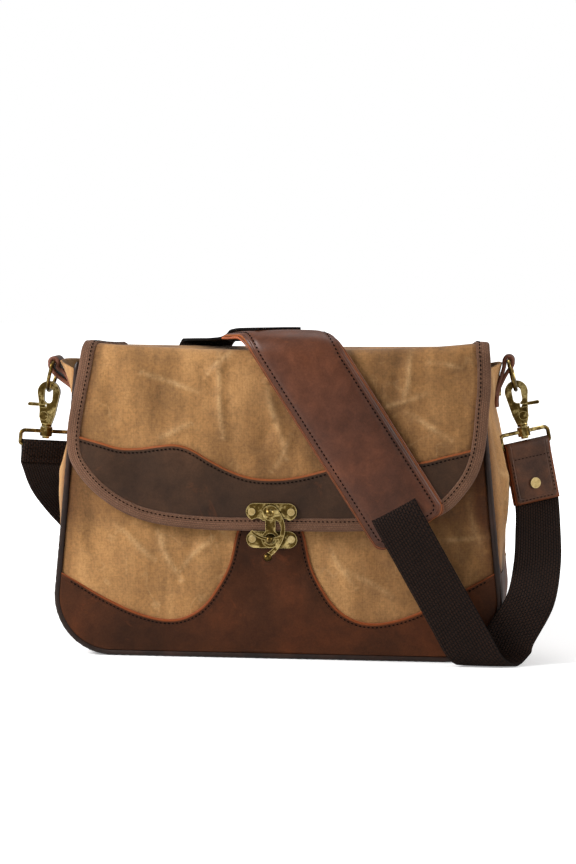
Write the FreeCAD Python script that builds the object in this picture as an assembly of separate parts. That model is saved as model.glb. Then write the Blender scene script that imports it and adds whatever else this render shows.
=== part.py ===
import FreeCAD, Part
import math
import os

# A soft camera bag: padded box, front flap with a swing-hook clasp and a shoulder
# strap laid over the flap. Millimetres, x to the right, y to the back, z up.
# The origin is the middle of the underside.

# Driving sizes of the bag box
PANEL_THICK = 2.4
FRONT_FACE_Y = -60.0
BACK_FACE_Y = 60.0
CORNER_RADIUS = 42.0
CORNER_CENTRE_X = 131.2
PANEL_FOOT_Z = 5.2
SIDE_LEAN = math.radians(5.5)
FRONT_TOP_Z = 240.0
BACK_TOP_Z = 238.5
GUSSET_OFFSET = 2.8
GUSSET_THICK = 2.4
GUSSET_TOP_Z = 232.0
LEATHER_BASE_Z = 72.0
PIPING_RADIUS = 2.4
PIPING_OFFSET = PIPING_RADIUS + 0.2
PIPING_INSET = 0.2
GUSSET_GAP = 0.4
GUSSET_FRONT_Y = FRONT_FACE_Y + PIPING_INSET + PIPING_RADIUS + GUSSET_GAP
GUSSET_BACK_Y = BACK_FACE_Y - PIPING_INSET - PIPING_RADIUS - GUSSET_GAP
RIGHT_FLARE = 13.5
LEFT_FLARE = 22.5

# Driving sizes of the flap
FLAP_TOP_Z = 250.0
FLAP_FRONT_Y = -67.4
FLAP_FOLD_RADIUS = 9.0
CANVAS_THICK = 2.0
LINING_THICK = 1.0
BAND_THICK = 1.4
BINDING_THICK = 1.2
BINDING_WIDTH = 10.5
HINGE_Y = BACK_FACE_Y + 1.0
HINGE_Z = 240.0
TOP_SLOPE = 0.067

# Driving sizes of the clasp
CLASP_X = -3.0
PIVOT_Z = 117.6
POST_Z = 97.1
PLATE_LENGTH = 40.0
PLATE_HEIGHT = 13.2
RIVET_SPACING = 31.0

# Driving sizes of the strap
WEBBING_WIDTH = 38.0
WEBBING_THICK = 2.0
PAD_WIDTH = 62.0

V = FreeCAD.Vector
os.makedirs("parts", exist_ok=True)


def save(node, shape):
    shape.exportStep("parts/" + node + ".step")
    print(node, "solids", len(shape.Solids), "volume", round(shape.Volume))


def joined(shapes):
    result = shapes[0]
    for shape in shapes[1:]:
        result = result.fuse(shape)
    return result.removeSplitter()


def box(x0, x1, y0, y1, z0, z1):
    return Part.makeBox(x1 - x0, y1 - y0, z1 - z0, V(x0, y0, z0))


def rod(start, end, radius):
    line = end.sub(start)
    return Part.makeCylinder(radius, line.Length, start, line)


def mirrored(shape):
    return shape.mirror(V(0, 0, 0), V(1, 0, 0))


def face_from(edges):
    return Part.Face(Part.Wire(edges))


# ---- the bag's front shape: straight leaning sides and round lower corners ----
def side_x(z, offset):
    centre_z = PANEL_FOOT_Z + CORNER_RADIUS
    reach = CORNER_RADIUS + offset
    touch_x = CORNER_CENTRE_X + reach * math.cos(SIDE_LEAN)
    touch_z = centre_z + reach * math.sin(SIDE_LEAN)
    return touch_x - (z - touch_z) * math.tan(SIDE_LEAN)


def u_edges(offset, top_z, y):
    centre_z = PANEL_FOOT_Z + CORNER_RADIUS
    reach = CORNER_RADIUS + offset
    touch = V(CORNER_CENTRE_X + reach * math.cos(SIDE_LEAN), y, centre_z + reach * math.sin(SIDE_LEAN))
    turn = math.radians(42)
    middle = V(CORNER_CENTRE_X + reach * math.cos(turn), y, centre_z - reach * math.sin(turn))
    foot = V(CORNER_CENTRE_X, y, centre_z - reach)
    top = V(side_x(top_z, offset), y, top_z)
    flip = lambda p: V(-p.x, p.y, p.z)
    return [
        Part.LineSegment(top, touch).toShape(),
        Part.Arc(touch, middle, foot).toShape(),
        Part.LineSegment(foot, flip(foot)).toShape(),
        Part.Arc(flip(foot), flip(middle), flip(touch)).toShape(),
        Part.LineSegment(flip(touch), flip(top)).toShape(),
    ]


def u_slab(offset, top_z, y0, y1):
    edges = u_edges(offset, top_z, y0)
    x = side_x(top_z, offset)
    edges.append(Part.LineSegment(V(-x, y0, top_z), V(x, y0, top_z)).toShape())
    return face_from(edges).extrude(V(0, y1 - y0, 0))


def bowed_section(z, bow, sign):
    front, back = GUSSET_FRONT_Y, GUSSET_BACK_Y
    middle = (front + back) / 2
    inner = side_x(z, GUSSET_OFFSET)
    outer = side_x(z, GUSSET_OFFSET + GUSSET_THICK)
    points = [V(sign * outer, front, z), V(sign * (outer + bow), middle, z), V(sign * outer, back, z)]
    inner_points = [V(sign * inner, back, z), V(sign * (inner + bow), middle, z), V(sign * inner, front, z)]
    return Part.Wire([
        Part.Arc(*points).toShape(),
        Part.LineSegment(points[2], inner_points[0]).toShape(),
        Part.Arc(*inner_points).toShape(),
        Part.LineSegment(inner_points[2], points[0]).toShape(),
    ])


def gusset_bow(z, flare):
    levels = [(LEATHER_BASE_Z, 0.6), (120.0, 3.0), (165.0, 3.4), (200.0, 4.0), (GUSSET_TOP_Z, flare)]
    for (z0, b0), (z1, b1) in zip(levels[:-1], levels[1:]):
        if z <= z1:
            return b0 + (b1 - b0) * (z - z0) / (z1 - z0)
    return flare


def side_gusset(sign, flare):
    levels = [LEATHER_BASE_Z + 0.1, 120.0, 165.0, 200.0, GUSSET_TOP_Z]
    sections = [bowed_section(z, gusset_bow(z, flare), sign) for z in levels]
    return Part.makeLoft(sections, True, True)


front_panel = u_slab(0, FRONT_TOP_Z, FRONT_FACE_Y, FRONT_FACE_Y + PANEL_THICK)
back_panel = u_slab(0, BACK_TOP_Z, BACK_FACE_Y - PANEL_THICK, BACK_FACE_Y)
save("front_panel", front_panel)
save("back_panel", back_panel)

base_outer = u_slab(GUSSET_OFFSET + GUSSET_THICK, LEATHER_BASE_Z, GUSSET_FRONT_Y, GUSSET_BACK_Y)
base_inner = u_slab(GUSSET_OFFSET, LEATHER_BASE_Z + 5, GUSSET_FRONT_Y - 1, GUSSET_BACK_Y + 1)
save("base_gusset", base_outer.cut(base_inner))
save("right_gusset", side_gusset(1, RIGHT_FLARE))
save("left_gusset", side_gusset(-1, LEFT_FLARE))


def piping(y, top_z):
    path = Part.Wire(u_edges(PIPING_OFFSET, top_z, y))
    start = V(side_x(top_z, PIPING_OFFSET), y, top_z)
    along = V(math.sin(SIDE_LEAN), 0, -math.cos(SIDE_LEAN))
    ring = Part.Wire([Part.Circle(start, along, PIPING_RADIUS).toShape()])
    return path.makePipeShell([ring], True, False)


save("front_piping", piping(FRONT_FACE_Y + PIPING_INSET, 234.0))
save("back_piping", piping(BACK_FACE_Y - PIPING_INSET, 232.5))

# ---- leather on the lower front: two dips either side of a raised pillar ----
PILLAR_X = -4.5
TRIM_THICK = 1.4
trim_half = [
    (26.5, 104), (32, 77), (40, 60), (52, 43), (66, 33.5), (80, 30.5),
    (95, 32.3), (113, 38), (136, 49), (155, 60), (182, 76),
]


def trim_curve(sign):
    points = [V(PILLAR_X + sign * dx, 0, z) for dx, z in trim_half]
    curve = Part.BSplineCurve()
    curve.interpolate(points)
    return curve.toShape()


right_end = V(PILLAR_X + 182, 0, 76)
left_end = V(PILLAR_X - 182, 0, 76)
trim_face = face_from([
    trim_curve(1),
    Part.LineSegment(right_end, V(right_end.x, 0, -5)).toShape(),
    Part.LineSegment(V(right_end.x, 0, -5), V(left_end.x, 0, -5)).toShape(),
    Part.LineSegment(V(left_end.x, 0, -5), left_end).toShape(),
    trim_curve(-1),
    Part.LineSegment(V(PILLAR_X - 26.5, 0, 104), V(PILLAR_X + 26.5, 0, 104)).toShape(),
])
TRIM_BACK_Y = FRONT_FACE_Y - 0.1
TRIM_FRONT_Y = TRIM_BACK_Y - TRIM_THICK
trim = trim_face.extrude(V(0, 10, 0))
trim.translate(V(0, TRIM_FRONT_Y, 0))
trim = trim.common(u_slab(-0.4, 200, TRIM_FRONT_Y, TRIM_BACK_Y))
save("front_leather_trim", trim)

# ---- padded insert: floor, four walls and two dividers ----
WALL = 6.0
INSERT_HALF_X = 139.0
INSERT_TOP_Z = 190.0
FLOOR_TOP_Z = 8.6
inner_front, inner_back = GUSSET_FRONT_Y, GUSSET_BACK_Y
save("insert_floor", box(-128, 128, inner_front, inner_back, FLOOR_TOP_Z - 6, FLOOR_TOP_Z))
wall_low = FLOOR_TOP_Z + 0.2
half_x = INSERT_HALF_X
save("insert_front_wall", box(-half_x, half_x, inner_front, inner_front + WALL, wall_low, INSERT_TOP_Z))
save("insert_back_wall", box(-half_x, half_x, inner_back - WALL, inner_back, wall_low, INSERT_TOP_Z))
wall_front, wall_back = inner_front + WALL + 0.2, inner_back - WALL - 0.2
right_wall = box(INSERT_HALF_X - WALL, INSERT_HALF_X, wall_front, wall_back, FLOOR_TOP_Z + 0.2, INSERT_TOP_Z)
save("insert_right_wall", right_wall)
save("insert_left_wall", mirrored(right_wall))
DIVIDER_X = 47.0
for name, x in (("divider_left", -DIVIDER_X), ("divider_right", DIVIDER_X)):
    save(name, box(x - 2.5, x + 2.5, wall_front, wall_back, FLOOR_TOP_Z + 0.2, 168.0))

# ---- flap: one sheet from the back seam over the top and down the front ----
# Half outlines of the flap seen from the front, from the fold down to the middle.
# The right side hangs straighter than the left one.
right_edge = [
    (166.4, 252.0), (168.0, 232.0), (168.0, 215.0), (166.6, 197.6), (165.2, 180.0), (162.0, 160.0),
    (156.3, 145.2), (146.8, 131.5), (137.2, 121.6), (122.0, 113.0), (100.0, 106.6), (60.0, 103.3),
]
left_edge = [
    (151.8, 252.0), (155.5, 232.0), (160.3, 208.0), (164.4, 186.0), (165.4, 170.0), (162.8, 156.4),
    (157.5, 147.0), (149.1, 137.0), (136.7, 125.8), (120.0, 115.5), (100.0, 108.4), (60.0, 103.3),
]
RIGHT_BACK_X = 156.0
LEFT_BACK_X = 151.0


def half_edge(points, inset, sign):
    moved = []
    count = len(points)
    for i in range(count):
        before = points[max(i - 1, 0)]
        after = points[min(i + 1, count - 1)]
        tx = after[0] - before[0]
        tz = after[1] - before[1]
        length = math.hypot(tx, tz)
        x = points[i][0] + inset * tz / length
        moved.append(V(sign * x, 0, points[i][1] - inset * tx / length))
    return moved


def flap_outline(inset):
    right = half_edge(right_edge, inset, 1)
    left = half_edge(left_edge, inset, -1)
    right_curve = Part.BSplineCurve()
    right_curve.interpolate(right)
    left_curve = Part.BSplineCurve()
    left_curve.interpolate(left)
    high = right[0].z + 20
    front_shape = face_from([
        right_curve.toShape(),
        Part.LineSegment(right[-1], left[-1]).toShape(),
        left_curve.toShape(),
        Part.LineSegment(left[0], V(left[0].x, 0, high)).toShape(),
        Part.LineSegment(V(left[0].x, 0, high), V(right[0].x, 0, high)).toShape(),
        Part.LineSegment(V(right[0].x, 0, high), right[0]).toShape(),
    ]).extrude(V(0, 200, 0)).translated(V(0, -100, 0))
    # seen from above the flap narrows a little towards its back seam
    fold_y = FLAP_FRONT_Y + FLAP_FOLD_RADIUS
    plan = [
        V(230, -100, 0), V(230, fold_y, 0),
        V(168.0 - inset, fold_y, 0), V(RIGHT_BACK_X - inset, HINGE_Y + 20, 0),
        V(inset - LEFT_BACK_X, HINGE_Y + 20, 0), V(inset - 158.0, fold_y, 0),
        V(-230, fold_y, 0), V(-230, -100, 0),
    ]
    plan_shape = Part.Face(Part.makePolygon(plan + [plan[0]])).extrude(V(0, 0, 400))
    return front_shape.common(plan_shape)


def folded_sheet(outer, inner, back_y):
    # outer and inner are how far the two faces lie outside the canvas's outer face
    def edge_loop(grow):
        y = FLAP_FRONT_Y - grow
        z = FLAP_TOP_Z + grow
        r = FLAP_FOLD_RADIUS + grow
        c = math.cos(math.radians(45))
        return y, z, r, V(0, y + r - r * c, z - r + r * c)
    y0, z0, r0, m0 = edge_loop(outer)
    y1, z1, r1, m1 = edge_loop(inner)
    low = 60.0
    drop = TOP_SLOPE * (back_y - y0 - r0)
    edges = [
        Part.LineSegment(V(0, back_y, z0 - drop), V(0, y0 + r0, z0)).toShape(),
        Part.Arc(V(0, y0 + r0, z0), m0, V(0, y0, z0 - r0)).toShape(),
        Part.LineSegment(V(0, y0, z0 - r0), V(0, y0, low)).toShape(),
        Part.LineSegment(V(0, y0, low), V(0, y1, low)).toShape(),
        Part.LineSegment(V(0, y1, low), V(0, y1, z1 - r1)).toShape(),
        Part.Arc(V(0, y1, z1 - r1), m1, V(0, y1 + r1, z1)).toShape(),
        Part.LineSegment(V(0, y1 + r1, z1), V(0, back_y, z1 - drop)).toShape(),
        Part.LineSegment(V(0, back_y, z1 - drop), V(0, back_y, z0 - drop)).toShape(),
    ]
    return face_from(edges).extrude(V(400, 0, 0)).translated(V(-200, 0, 0))


canvas_body = folded_sheet(0, -CANVAS_THICK, HINGE_Y - 0.2)
LINING_END_Y = BACK_FACE_Y - PANEL_THICK - 0.4
lining_body = folded_sheet(-CANVAS_THICK - 0.05, -CANVAS_THICK - LINING_THICK, LINING_END_Y)
band_body = folded_sheet(BAND_THICK, 0, HINGE_Y - 0.2)
inside_edge = flap_outline(1.3)
save("flap_canvas", canvas_body.common(inside_edge))
save("flap_lining", lining_body.common(inside_edge))

band_top = [
    (-175, 181), (-153.6, 174.8), (-139, 171), (-123, 166.8), (-107, 166.8), (-91, 169), (-79, 170),
    (-67, 167), (-51, 157.8), (-35.6, 150), (-19.8, 144.8), (0, 143.5), (20, 146), (39, 151),
    (60, 157.5), (80, 160.5), (98, 159), (114, 158.4), (133, 163.2), (153.7, 168.5), (175, 176),
]
band_line = Part.BSplineCurve()
band_line.interpolate([V(x, 0, z) for x, z in band_top])
band_face = face_from([
    band_line.toShape(),
    Part.LineSegment(V(175, 0, 176), V(175, 0, 90)).toShape(),
    Part.LineSegment(V(175, 0, 90), V(-175, 0, 90)).toShape(),
    Part.LineSegment(V(-175, 0, 90), V(-175, 0, 181)).toShape(),
])
band_zone = band_face.extrude(V(0, 60, 0)).translated(V(0, -100, 0))
save("flap_leather_band", band_body.common(inside_edge).common(band_zone))

binding_out = BAND_THICK + BINDING_THICK
binding_in = -CANVAS_THICK - LINING_THICK - BINDING_THICK
binding_body = folded_sheet(binding_out, binding_in, BACK_FACE_Y - PANEL_THICK - 0.4)
rim = flap_outline(0).cut(flap_outline(BINDING_WIDTH))
core = folded_sheet(BAND_THICK + 0.05, -CANVAS_THICK - LINING_THICK - 0.05, 80).common(flap_outline(1.25))
save("flap_binding", binding_body.common(rim).cut(core))
BINDING_FRONT_Y = FLAP_FRONT_Y - binding_out

# ---- clasp: plates, ball post, hasp tongue and swing hook ----
UPPER_BACK_Y = BINDING_FRONT_Y - 0.1
UPPER_FRONT_Y = UPPER_BACK_Y - 1.3
LOWER_BACK_Y = TRIM_FRONT_Y - 0.1
LOWER_FRONT_Y = LOWER_BACK_Y - 1.3
BAND_FRONT_Y = FLAP_FRONT_Y - BAND_THICK
POST_BALL_Y = UPPER_FRONT_Y - 5.7
HOOK_BACK_Y = UPPER_FRONT_Y - 1.5
HOOK_FRONT_Y = HOOK_BACK_Y - 1.4


def disc(x, z, radius, back_y, front_y):
    return Part.makeCylinder(radius, back_y - front_y, V(x, front_y, z), V(0, 1, 0))


def stadium(x, z, length, height, back_y, front_y):
    half = length / 2 - height / 2
    middle = box(x - half, x + half, front_y, back_y, z - height / 2, z + height / 2)
    ends = [disc(x + s * half, z, height / 2, back_y, front_y) for s in (-1, 1)]
    return joined([middle] + ends)


def arc_band(x, z, radius_in, radius_out, start_deg, end_deg, back_y, front_y):
    def at(radius, deg):
        return V(x + radius * math.cos(math.radians(deg)), front_y, z + radius * math.sin(math.radians(deg)))
    mid = (start_deg + end_deg) / 2
    return face_from([
        Part.Arc(at(radius_out, start_deg), at(radius_out, mid), at(radius_out, end_deg)).toShape(),
        Part.LineSegment(at(radius_out, end_deg), at(radius_in, end_deg)).toShape(),
        Part.Arc(at(radius_in, end_deg), at(radius_in, mid), at(radius_in, start_deg)).toShape(),
        Part.LineSegment(at(radius_in, start_deg), at(radius_out, start_deg)).toShape(),
    ]).extrude(V(0, back_y - front_y, 0))


LOWER_PLATE_Z = POST_Z - 0.9
rivet_x = [CLASP_X - RIVET_SPACING / 2, CLASP_X + RIVET_SPACING / 2]
lower_plate = stadium(CLASP_X, LOWER_PLATE_Z - 1.0, PLATE_LENGTH, PLATE_HEIGHT, LOWER_BACK_Y, LOWER_FRONT_Y)
for x in rivet_x:
    lower_plate = lower_plate.cut(disc(x, LOWER_PLATE_Z - 0.6, 1.6, 0, -100))
save("lower_clasp_plate", lower_plate)
lower_rivets = []
for x in rivet_x:
    shank = disc(x, LOWER_PLATE_Z - 0.6, 1.5, LOWER_BACK_Y - 0.05, LOWER_FRONT_Y - 0.3)
    head = disc(x, LOWER_PLATE_Z - 0.6, 2.9, LOWER_FRONT_Y - 0.05, LOWER_FRONT_Y - 1.1)
    lower_rivets.append(joined([shank, head]))
save("lower_clasp_rivets", Part.makeCompound(lower_rivets))

SLOT_HALF = 1.45
post = disc(CLASP_X, POST_Z, 2.6, LOWER_FRONT_Y - 0.05, POST_BALL_Y)
post = joined([post, Part.makeSphere(2.75, V(CLASP_X, POST_BALL_Y, POST_Z))])
slot = box(
    CLASP_X - 4, CLASP_X + 4, HOOK_FRONT_Y - 0.25, HOOK_BACK_Y + 0.25,
    POST_Z - SLOT_HALF, POST_Z + SLOT_HALF,
)
save("clasp_post", post.cut(slot))

TONGUE_TURN = 3.0
upper = stadium(CLASP_X + 0.8, PIVOT_Z + 0.6, PLATE_LENGTH, PLATE_HEIGHT, UPPER_BACK_Y, UPPER_FRONT_Y)
shoulder = box(CLASP_X - 9.6, CLASP_X + 9.6, UPPER_FRONT_Y, UPPER_BACK_Y, PIVOT_Z - 6.4, PIVOT_Z + 7.2)
tongue = box(CLASP_X - 3.9, CLASP_X + 3.9, UPPER_FRONT_Y, UPPER_BACK_Y, POST_Z + 5, PIVOT_Z)
ring = disc(CLASP_X, POST_Z - 0.3, 6.9, UPPER_BACK_Y, UPPER_FRONT_Y)
hasp = joined([upper, shoulder, tongue, ring])
for s in (-1, 1):
    waist = disc(CLASP_X + s * 10.4, (PIVOT_Z + POST_Z) / 2 - 0.4, 6.2, UPPER_BACK_Y + 1, UPPER_FRONT_Y - 1)
    hasp = hasp.cut(waist)
hasp = hasp.cut(disc(CLASP_X, POST_Z - 0.3, 4.4, 0, -100))
hasp = hasp.cut(disc(CLASP_X, PIVOT_Z, 1.7, 0, -100))
upper_rivet_x = [x + 0.8 for x in rivet_x]
for x in upper_rivet_x:
    hasp = hasp.cut(disc(x, PIVOT_Z + 0.6, 1.6, 0, -100))
save("upper_clasp_plate", hasp)
upper_rivets = []
for x in upper_rivet_x:
    shank = disc(x, PIVOT_Z + 0.6, 1.5, BAND_FRONT_Y - 0.05, UPPER_FRONT_Y - 0.3)
    head = disc(x, PIVOT_Z + 0.6, 2.9, UPPER_FRONT_Y - 0.05, UPPER_FRONT_Y - 1.1)
    upper_rivets.append(joined([shank, head]))
save("upper_clasp_rivets", Part.makeCompound(upper_rivets))
stud = disc(CLASP_X, PIVOT_Z, 1.6, UPPER_BACK_Y - 0.05, HOOK_FRONT_Y - 0.5)
stud_head = Part.makeSphere(3.9, V(CLASP_X, HOOK_FRONT_Y + 1.3, PIVOT_Z))
stud_head = stud_head.common(disc(CLASP_X, PIVOT_Z, 5, HOOK_FRONT_Y - 0.1, HOOK_FRONT_Y - 6))
save("clasp_pivot_stud", joined([stud, stud_head]))

outer_edge = [
    (0.5, 5.9), (4.5, 4.5), (7.4, 0.8), (9.9, -3.4), (11.5, -8.7),
    (11.8, -14), (10.8, -19), (7.8, -26), (1.2, -33.6),
]
inner_edge = [(-1.8, -31.2), (2.3, -28), (5.4, -23.9), (7.7, -18), (8.7, -12), (7.2, -7.2), (3.4, -4.6)]


def edge_curve(points):
    curve = Part.BSplineCurve()
    curve.interpolate([V(CLASP_X + x, HOOK_FRONT_Y, PIVOT_Z + z) for x, z in points])
    return curve.toShape()


def place(x, z):
    return V(CLASP_X + x, HOOK_FRONT_Y, PIVOT_Z + z)


crescent = face_from([
    edge_curve(outer_edge),
    Part.LineSegment(place(*outer_edge[-1]), place(*inner_edge[0])).toShape(),
    edge_curve(inner_edge),
    Part.LineSegment(place(*inner_edge[-1]), place(*outer_edge[0])).toShape(),
]).extrude(V(0, HOOK_BACK_Y - HOOK_FRONT_Y, 0))
boss = disc(CLASP_X, PIVOT_Z, 5.9, HOOK_BACK_Y, HOOK_FRONT_Y)
latch_radius = PIVOT_Z - POST_Z
inner = latch_radius - 1.05
outer = latch_radius + 1.05
latch = arc_band(CLASP_X, PIVOT_Z, inner, outer, -136, -62, HOOK_BACK_Y, HOOK_FRONT_Y)
grip = Part.makeSphere(3.4)
grip.rotate(V(0, 0, 0), V(1, 0, 0), 90)
grip.rotate(V(0, 0, 0), V(0, 1, 0), 180)
grip.translate(V(CLASP_X - 1.8, (HOOK_BACK_Y + HOOK_FRONT_Y) / 2, PIVOT_Z - 35.0))
swing = joined([boss, crescent, latch, grip])
swing = swing.cut(disc(CLASP_X, PIVOT_Z, 1.7, 0, -100))
save("swing_hook", swing)

# ---- side hardware, drawn for the right side; the left side is its mirror ----
RING_WIRE = 1.5
RING_HALF_WIDTH = 14.0
RING_HEIGHT = 24.4
RING_TILT = math.radians(14)
HOOK_OUTER = 9.2
SWIVEL_TURN = 26.0
HOOK_TILT = {"right": 11.0, "left": 5.0}
BOSS_DOWN = 33.6
LOOP_DROP = 11.0
LOOP_HALF_WIDTH = WEBBING_WIDTH / 2 + 1.9
LOOP_WIRE = 1.6


def outer_face_x(z, flare):
    return side_x(z, GUSSET_OFFSET + GUSSET_THICK) + gusset_bow(z, flare)


TAB_HALF = 9.8
TAB_THICK = 2.6
TAB_LOW_Z = 196.0
TAB_BEND_Z = 207.0
TAB_HIGH_Z = 229.0


def tab_face_x(z, flare, bar_x, bar_z):
    # the outer face follows the gusset and then leaves it for the ring's bar
    low_x = outer_face_x(TAB_BEND_Z, flare) + 0.1 + TAB_THICK
    if z <= TAB_BEND_Z:
        return outer_face_x(z, flare) + 0.1 + TAB_THICK
    return low_x + (bar_x + 4.4 - low_x) * (z - TAB_BEND_Z) / (bar_z - 1.0 - TAB_BEND_Z)


def tab(flare, bar_x, bar_z):
    w = TAB_HALF
    points = [
        V(outer_face_x(TAB_LOW_Z, flare) + 0.1, -w, TAB_LOW_Z),
        V(tab_face_x(TAB_LOW_Z, flare, bar_x, bar_z), -w, TAB_LOW_Z),
        V(tab_face_x(TAB_BEND_Z, flare, bar_x, bar_z), -w, TAB_BEND_Z),
        V(bar_x + 4.4, -w, bar_z - 1),
        V(bar_x - 3.0, -w, bar_z + 3),
        V(outer_face_x(TAB_HIGH_Z, flare) + 0.1, -w, TAB_HIGH_Z),
        V(outer_face_x(200, flare) + 0.1, -w, 200),
        V(outer_face_x(TAB_LOW_Z, flare) + 0.1, -w, TAB_LOW_Z),
    ]
    strip_shape = Part.Face(Part.makePolygon(points)).extrude(V(0, 2 * w, 0))
    sleeve = rod(V(bar_x, -w, bar_z), V(bar_x, w, bar_z), 4.8)
    hole = rod(V(bar_x, -12, bar_z), V(bar_x, 12, bar_z), RING_WIRE + 0.1)
    return joined([strip_shape, sleeve]).cut(hole)


def tab_rivets(flare, bar_x, bar_z):
    heads = []
    for z in (200.5, 208.5):
        x = tab_face_x(z, flare, bar_x, bar_z)
        heads.append(rod(V(x - 1.2, 0, z), V(x + 1.0, 0, z), 2.9))
    return heads


def d_ring(bar_x, bar_z):
    corner = 4.0
    w = RING_HALF_WIDTH
    straight = RING_HEIGHT - w
    c = corner * (1 - math.cos(math.radians(45)))
    edges = [
        Part.LineSegment(V(0, 0, 0), V(0, w - corner, 0)).toShape(),
        Part.Arc(V(0, w - corner, 0), V(0, w - c, -c), V(0, w, -corner)).toShape(),
        Part.LineSegment(V(0, w, -corner), V(0, w, -straight)).toShape(),
        Part.Arc(V(0, w, -straight), V(0, 0, -straight - w), V(0, -w, -straight)).toShape(),
        Part.LineSegment(V(0, -w, -straight), V(0, -w, -corner)).toShape(),
        Part.Arc(V(0, -w, -corner), V(0, -w + c, -c), V(0, -w + corner, 0)).toShape(),
        Part.LineSegment(V(0, -w + corner, 0), V(0, 0, 0)).toShape(),
    ]
    wire = Part.Wire([Part.Circle(V(0, 0, 0), V(0, 1, 0), RING_WIRE).toShape()])
    ring_shape = Part.Wire(edges).makePipeShell([wire], True, False)
    ring_shape.rotate(V(0, 0, 0), V(0, -1, 0), math.degrees(RING_TILT))
    ring_shape.translate(V(bar_x, 0, bar_z))
    return ring_shape


def ring_foot(bar_x, bar_z):
    return V(bar_x + RING_HEIGHT * math.sin(RING_TILT), 0, bar_z - RING_HEIGHT * math.cos(RING_TILT))


def hang(shape, foot, lean):
    # from the hook's own upright drawing to its leaning place under the ring
    shape = shape.copy()
    shape.rotate(V(0, 0, 0), V(0, -1, 0), lean)
    shape.translate(foot)
    return shape


EYE_DROP = -1.0
GATE_X = 1.0
JAW_PIVOT = V(2.3, 0, -21.0)


def hook_outline(half_thick):
    crown = rod(V(0, -half_thick, EYE_DROP - 0.5), V(0, half_thick, EYE_DROP - 0.5), HOOK_OUTER)
    lower = Part.Face(Part.makePolygon([
        V(-HOOK_OUTER, -half_thick, EYE_DROP - 1), V(HOOK_OUTER, -half_thick, EYE_DROP - 1),
        V(6.3, -half_thick, -16), V(6.3, -half_thick, -22), V(4.2, -half_thick, -27.5),
        V(-4.2, -half_thick, -27.5), V(-6.4, -half_thick, -20), V(-HOOK_OUTER, -half_thick, EYE_DROP - 1),
    ])).extrude(V(0, 2 * half_thick, 0))
    eye_top = rod(V(0, -9, EYE_DROP), V(0, 9, EYE_DROP), 3.6)
    eye_low = rod(V(0, -9, EYE_DROP - 6), V(0, 9, EYE_DROP - 6), 3.6)
    eye = joined([eye_top, eye_low, box(-3.6, 3.6, -9, 9, EYE_DROP - 6, EYE_DROP)])
    return joined([crown, lower]).cut(eye)


def hook_fixed():
    shape = hook_outline(2.6)
    shape = shape.cut(box(GATE_X, 30, -9, 9, -14.2, 30))
    shape = shape.cut(box(-3.4, 30, -1.35, 1.35, -25.8, -12.2))
    shape = shape.cut(box(GATE_X, 30, -1.35, 1.35, -15, -10))
    collar = Part.makeCylinder(4.2, 2.2, V(0, 0, -29.5), V(0, 0, 1))
    stem = Part.makeCylinder(2.0, 10.0, V(0, 0, -39.0), V(0, 0, 1))
    peen = Part.makeCylinder(3.0, 1.6, V(0, 0, -39.4), V(0, 0, 1))
    shape = joined([shape, collar, stem, peen])
    return shape.cut(rod(V(JAW_PIVOT.x, -9, JAW_PIVOT.z), V(JAW_PIVOT.x, 9, JAW_PIVOT.z), 1.6))


def hook_jaw():
    arc_part = hook_outline(2.2).common(box(GATE_X + 0.5, 30, -9, 9, -11.9, 30))
    tongue_part = disc(JAW_PIVOT.x, JAW_PIVOT.z, 4.0, 1.1, -1.1)
    neck_part = Part.Face(Part.makePolygon([
        V(3.9, -1.1, -10), V(7.6, -1.1, -10), V(6.2, -1.1, -21), V(-1.0, -1.1, -19), V(3.9, -1.1, -10),
    ])).extrude(V(0, 2.2, 0))
    lever = Part.Face(Part.makePolygon([
        V(6.6, -2.2, -11.0), V(15.8, -2.2, -11.0), V(16.8, -2.2, -12.4), V(15.8, -2.2, -13.8),
        V(7.0, -2.2, -13.4), V(6.6, -2.2, -11.0),
    ])).extrude(V(0, 4.4, 0))
    shape = joined([arc_part, tongue_part, neck_part, lever])
    return shape.cut(rod(V(JAW_PIVOT.x, -9, JAW_PIVOT.z), V(JAW_PIVOT.x, 9, JAW_PIVOT.z), 1.6))


def jaw_rivet():
    pin = rod(V(JAW_PIVOT.x, -3.4, JAW_PIVOT.z), V(JAW_PIVOT.x, 3.4, JAW_PIVOT.z), 1.5)
    front = rod(V(JAW_PIVOT.x, -3.7, JAW_PIVOT.z), V(JAW_PIVOT.x, -2.65, JAW_PIVOT.z), 3.6)
    back = rod(V(JAW_PIVOT.x, 2.65, JAW_PIVOT.z), V(JAW_PIVOT.x, 3.7, JAW_PIVOT.z), 3.6)
    return joined([pin, front, back])


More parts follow.
